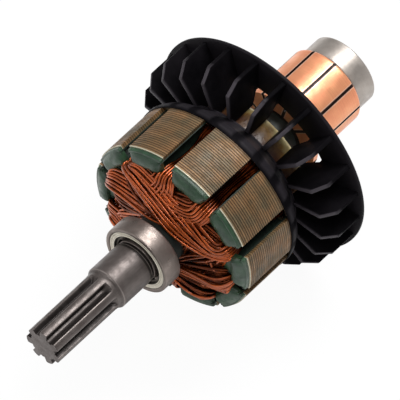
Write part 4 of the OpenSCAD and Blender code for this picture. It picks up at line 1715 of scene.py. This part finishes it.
    def hub_profile(self) -> np.ndarray:
        """Section of the hub, from its lip to its neck and back.

        Returns:
            (n, 2) points of radius and station.
        """
        under = self.neck_r - self.hub_t
        corners = np.array([
            [self.lip_inner_r, self.lip_front],
            [self.lip_r - 0.05, self.lip_front],
            [self.lip_r, self.hub_front],
            [self.hub_r + self.hub_t, self.cap_rear + 1.0],
            [self.neck_r, self.blade_front],
            [self.neck_r, self.neck_rear],
            [under, self.neck_rear],
            [under, self.blade_front],
            [self.hub_r, self.cap_rear],
            [self.hub_r, self.hub_front - 0.1],
            [self.lip_inner_r, self.hub_front - 0.1],
        ])
        return rounded_profile(corners, 0.4)

    def add_hub(self, shape: Shape) -> None:
        """Adds the hub, ten sections to a blade: painted light makes patches behind the lip a little
        lighter in front of each blade's root, and the darker bands between are painted blade shadows.

        Args:
            shape: the fan's shape.
        """
        hub = self.hub_profile()
        steps = self.blades * 10
        away = np.abs((np.arange(steps) + 0.5 - self.phase * steps / 360) % 10 - 5) / 5
        # painted light on the hub midway between blades; the darker hub beside each blade is painted blade
        # shadow
        root = np.clip((0.72 - away) / 0.2, 0, 1)[:, None]
        behind = np.clip((self.lip_front - 1.0 - hub[:, 1]) / 0.3, 0, 1)
        shape.add_revolved(hub, steps, self.dark + 0.2 * root * behind)

    def build(self) -> None:
        """Makes the fan as one piece."""
        shape = Shape("fan_moulding")
        shape.add_revolved(self.plate_profile(), self.blades * 8, 0.15)
        self.add_hub(shape)
        rings, tones = self.blade_rings()
        for blade in range(self.blades):
            shape.add_lofted(rings @ turned(self.phase + blade * 360 / self.blades), tones)
        dress(shape.build(35), FAN_PLASTIC, "fan")


@dataclass
class Races:
    """Outer and inner ring of a ball bearing, turned, ground and chamfered.

    Attributes:
        name: front or rear.
        bore_r: radius of the bore.
        finish: finish of both rings.
        seat_r: radius at which the shields sit.
        chamfer: chamfer of the outer ring; the inner one has half of it.
    """

    name: str
    bore_r: float
    finish: Finish
    seat_r: float = 9.75
    chamfer: float = 0.45

    def add_ring(self, part: str, inside: float, chamfer: float, body: str) -> None:
        """Makes one ring, as long and as wide as its node.

        Args:
            part: outer or inner.
            inside: the ring's inner radius.
            chamfer: size of its chamfers.
            body: the body that it belongs to.
        """
        node = f"{self.name}_bearing_{part}_race"
        ring = Extent.of(node)
        outside = ring.radius
        corners = [[inside, ring.rear], [outside, ring.rear], [outside, ring.front], [inside, ring.front]]
        shape = Shape(f"{self.name}_{part}_ring")
        shape.add_revolved(rounded_profile(np.array(corners), chamfer, 4), 192)
        dress(shape.build(50), self.finish, node, body)

    def build(self) -> None:
        """Makes both rings."""
        self.add_ring("outer", self.seat_r, self.chamfer, self.name + "_race")
        self.add_ring("inner", self.bore_r, self.chamfer / 2, ROTOR)


@dataclass
class CarriedNodes:
    """CAD nodes that are shown as they are, each with its finish."""

    finishes: dict[str, Finish]

    def build(self, nodes: dict[str, bpy.types.Object]) -> None:
        """Puts the finish on each node.

        Args:
            nodes: the frame's objects by node name.
        """
        for name, finish in self.finishes.items():
            node = nodes[name]
            node.data.materials.clear()
            node.data.materials.append(finish.material())
            LOG.info("%s: %s", name, finish.name)


def node_finishes() -> dict[str, Finish]:
    """Finish of each node that keeps its CAD shape.

    Returns:
        The finishes by node name.
    """
    finishes: dict[str, Finish] = {
        "core_stack": LAMINATIONS,
        "rear_end_insulation": REAR_RING,
        "slot_liners": LINER_PAPER,
        "front_shaft_sleeve": SLEEVE,
        "rear_shaft_sleeve": SLEEVE,
        "rear_coil_wrap": AMBER,
        "lead_wires": ENAMEL,
        "commutator_moulding": RESIN,
        "commutator_bush": BUSH_STEEL,
    }
    finishes |= {f"commutator_bar_{number:02d}": TRACK_COPPER for number in range(1, 11)}
    parts = {
        "balls": BEARING_STEEL,
        "front_shield": SHIELD_STEEL,
        "rear_shield": SHIELD_STEEL,
        "cage": CAGE_STEEL,
    }
    for end in ("front", "rear"):
        finishes |= {f"{end}_bearing_{part}": finish for part, finish in parts.items()}
    return finishes


# ---------------------------------------------------------------- studio


@dataclass(frozen=True)
class Lamp:
    """Square area lamp that faces the object, placed in degrees and metres, with its power in watts."""

    name: str
    azimuth: float
    elevation: float
    distance: float
    size: float
    power: float


@dataclass
class Studio:
    """Pale floor, soft lamps and the camera.

    Attributes:
        azimuth: the camera's angle round the object in degrees.
        elevation: its angle above the horizon in degrees.
        distance: its distance from the target in metres.
        lens: focal length in millimetres on a sensor 36 mm wide.
        target: the point that camera and lamps face, in metres.
        floor_drop: depth of the floor under the shaft's axis in metres.
    """

    azimuth: float = 40.8
    elevation: float = 52.9
    distance: float = 2.325
    lens: float = 761.0
    target: tuple[float, float, float] = (-0.0023, 0.0264, -0.0038)
    floor_drop: float = 0.0375
    floor_r: float = 4.0
    floor_steps: int = 96
    ambient: float = 0.28
    lamps: tuple[Lamp, ...] = (
        Lamp("key", 175, 62, 1.0, 0.5, 10.3),
        Lamp("top", 62, 68, 1.1, 0.3, 2.6),
        Lamp("fill", -30, 40, 1.2, 1.0, 3.6),
    )

    def aim(self, item: bpy.types.Object, azimuth: float, elevation: float, distance: float) -> None:
        """Places a camera or a lamp so that it faces the target.

        Args:
            item: the camera or the lamp.
            azimuth: angle round the object in degrees, 0 from the pinion's side.
            elevation: angle above the horizon in degrees.
            distance: distance from the target in metres.
        """
        a, e = math.radians(azimuth), math.radians(elevation)
        back = Vector((math.sin(a) * math.cos(e), -math.cos(a) * math.cos(e), math.sin(e)))
        item.location = Vector(self.target) + back * distance
        item.rotation_mode = "QUATERNION"
        item.rotation_quaternion = (-back).to_track_quat("-Z", "Y")

    def add_camera(self) -> None:
        """Places the camera."""
        data = bpy.data.cameras.new("camera")
        data.lens = self.lens
        data.sensor_width = 36.0
        data.clip_start = 0.1
        data.clip_end = 20.0
        camera = new_object("camera", data)
        self.aim(camera, self.azimuth, self.elevation, self.distance)
        bpy.context.scene.camera = camera

    def add_lamps(self) -> None:
        """Places the lamps."""
        for lamp in self.lamps:
            data = bpy.data.lights.new(lamp.name, "AREA")
            data.energy = lamp.power
            data.size = lamp.size
            self.aim(new_object(lamp.name, data), lamp.azimuth, lamp.elevation, lamp.distance)

    def add_world(self) -> None:
        """White for the camera, soft grey for the light it gives."""
        world = bpy.data.worlds.new("studio")
        bpy.context.scene.world = world
        graph = cleared_graph(world)
        seen = graph.add("LightPath").outputs["Is Camera Ray"]
        level = graph.maths("ADD", graph.maths("MULTIPLY", seen, 1 - self.ambient), self.ambient)
        shade = graph.add("Background", Color=(1, 1, 1, 1), Strength=level)
        graph.add("OutputWorld", Surface=shade.outputs[0])

    def add_floor(self) -> None:
        """Lays a wide pale disc under the object; it keeps a faint shadow."""
        angle = np.linspace(0, 2 * np.pi, self.floor_steps, endpoint=False)
        rim = np.stack([np.cos(angle), np.sin(angle), np.zeros(self.floor_steps)], axis=-1) * self.floor_r
        rim[:, 2] = -self.floor_drop
        mesh = bpy.data.meshes.new("floor")
        mesh.from_pydata(rim, [], [list(range(self.floor_steps))])
        material = bpy.data.materials.new("floor")
        graph = cleared_graph(material)
        cloth = graph.add("BsdfDiffuse", Color=(0.9, 0.9, 0.9, 1))
        glow = graph.add("Emission", Color=(1, 1, 1, 1), Strength=1.0)
        seen = graph.maths("MULTIPLY", graph.add("LightPath").outputs["Is Camera Ray"], 0.95)
        mixed = graph.add("MixShader", i0=seen, i1=cloth.outputs[0], i2=glow.outputs[0])
        graph.add("OutputMaterial", Surface=mixed.outputs[0])
        mesh.materials.append(material)
        new_object("floor", mesh)

    def build(self) -> None:
        """Makes camera, lamps, world and floor."""
        self.add_camera()
        self.add_lamps()
        self.add_world()
        self.add_floor()
        bpy.context.scene.view_settings.view_transform = "Standard"


def build_armature() -> None:
    """Builds the shaft, the core's front cap, the coils, the fan and the bearings' rings."""
    shaft, core, fan = Extent.of("shaft"), Extent.of("core_stack"), Extent.of("fan")
    Shaft(
        rear=shaft.rear,
        journal_front=Extent.of("rear_bearing_outer_race").front,
        collar_rear=Extent.of("front_bearing_outer_race").front,
        collar_r=shaft.radius,
        tip=shaft.front,
    ).build()
    FrontCap(core.front).build()
    Winding((core.front + core.rear) / 2).build()
    Fan(
        rim_r=fan.radius,
        plate_rear=fan.rear,
        hub_front=fan.front,
        wrap_rear=Extent.of("rear_coil_wrap").rear,
    ).build()
    # front rings in the darker copy of the bearing steel, painted shade
    Races("front", bore_r=5.0, finish=SHADED_RACE_STEEL).build()
    Races("rear", bore_r=4.0, finish=BEARING_STEEL).build()


def main() -> None:
    """Builds the armature's looks around the frame."""
    logging.basicConfig(level=logging.INFO, format="%(message)s")
    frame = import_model()
    build_effects()
    Studio().build()
    CarriedNodes(node_finishes()).build(frame["nodes"])
    build_armature()


if __name__ == "__main__":
    main()
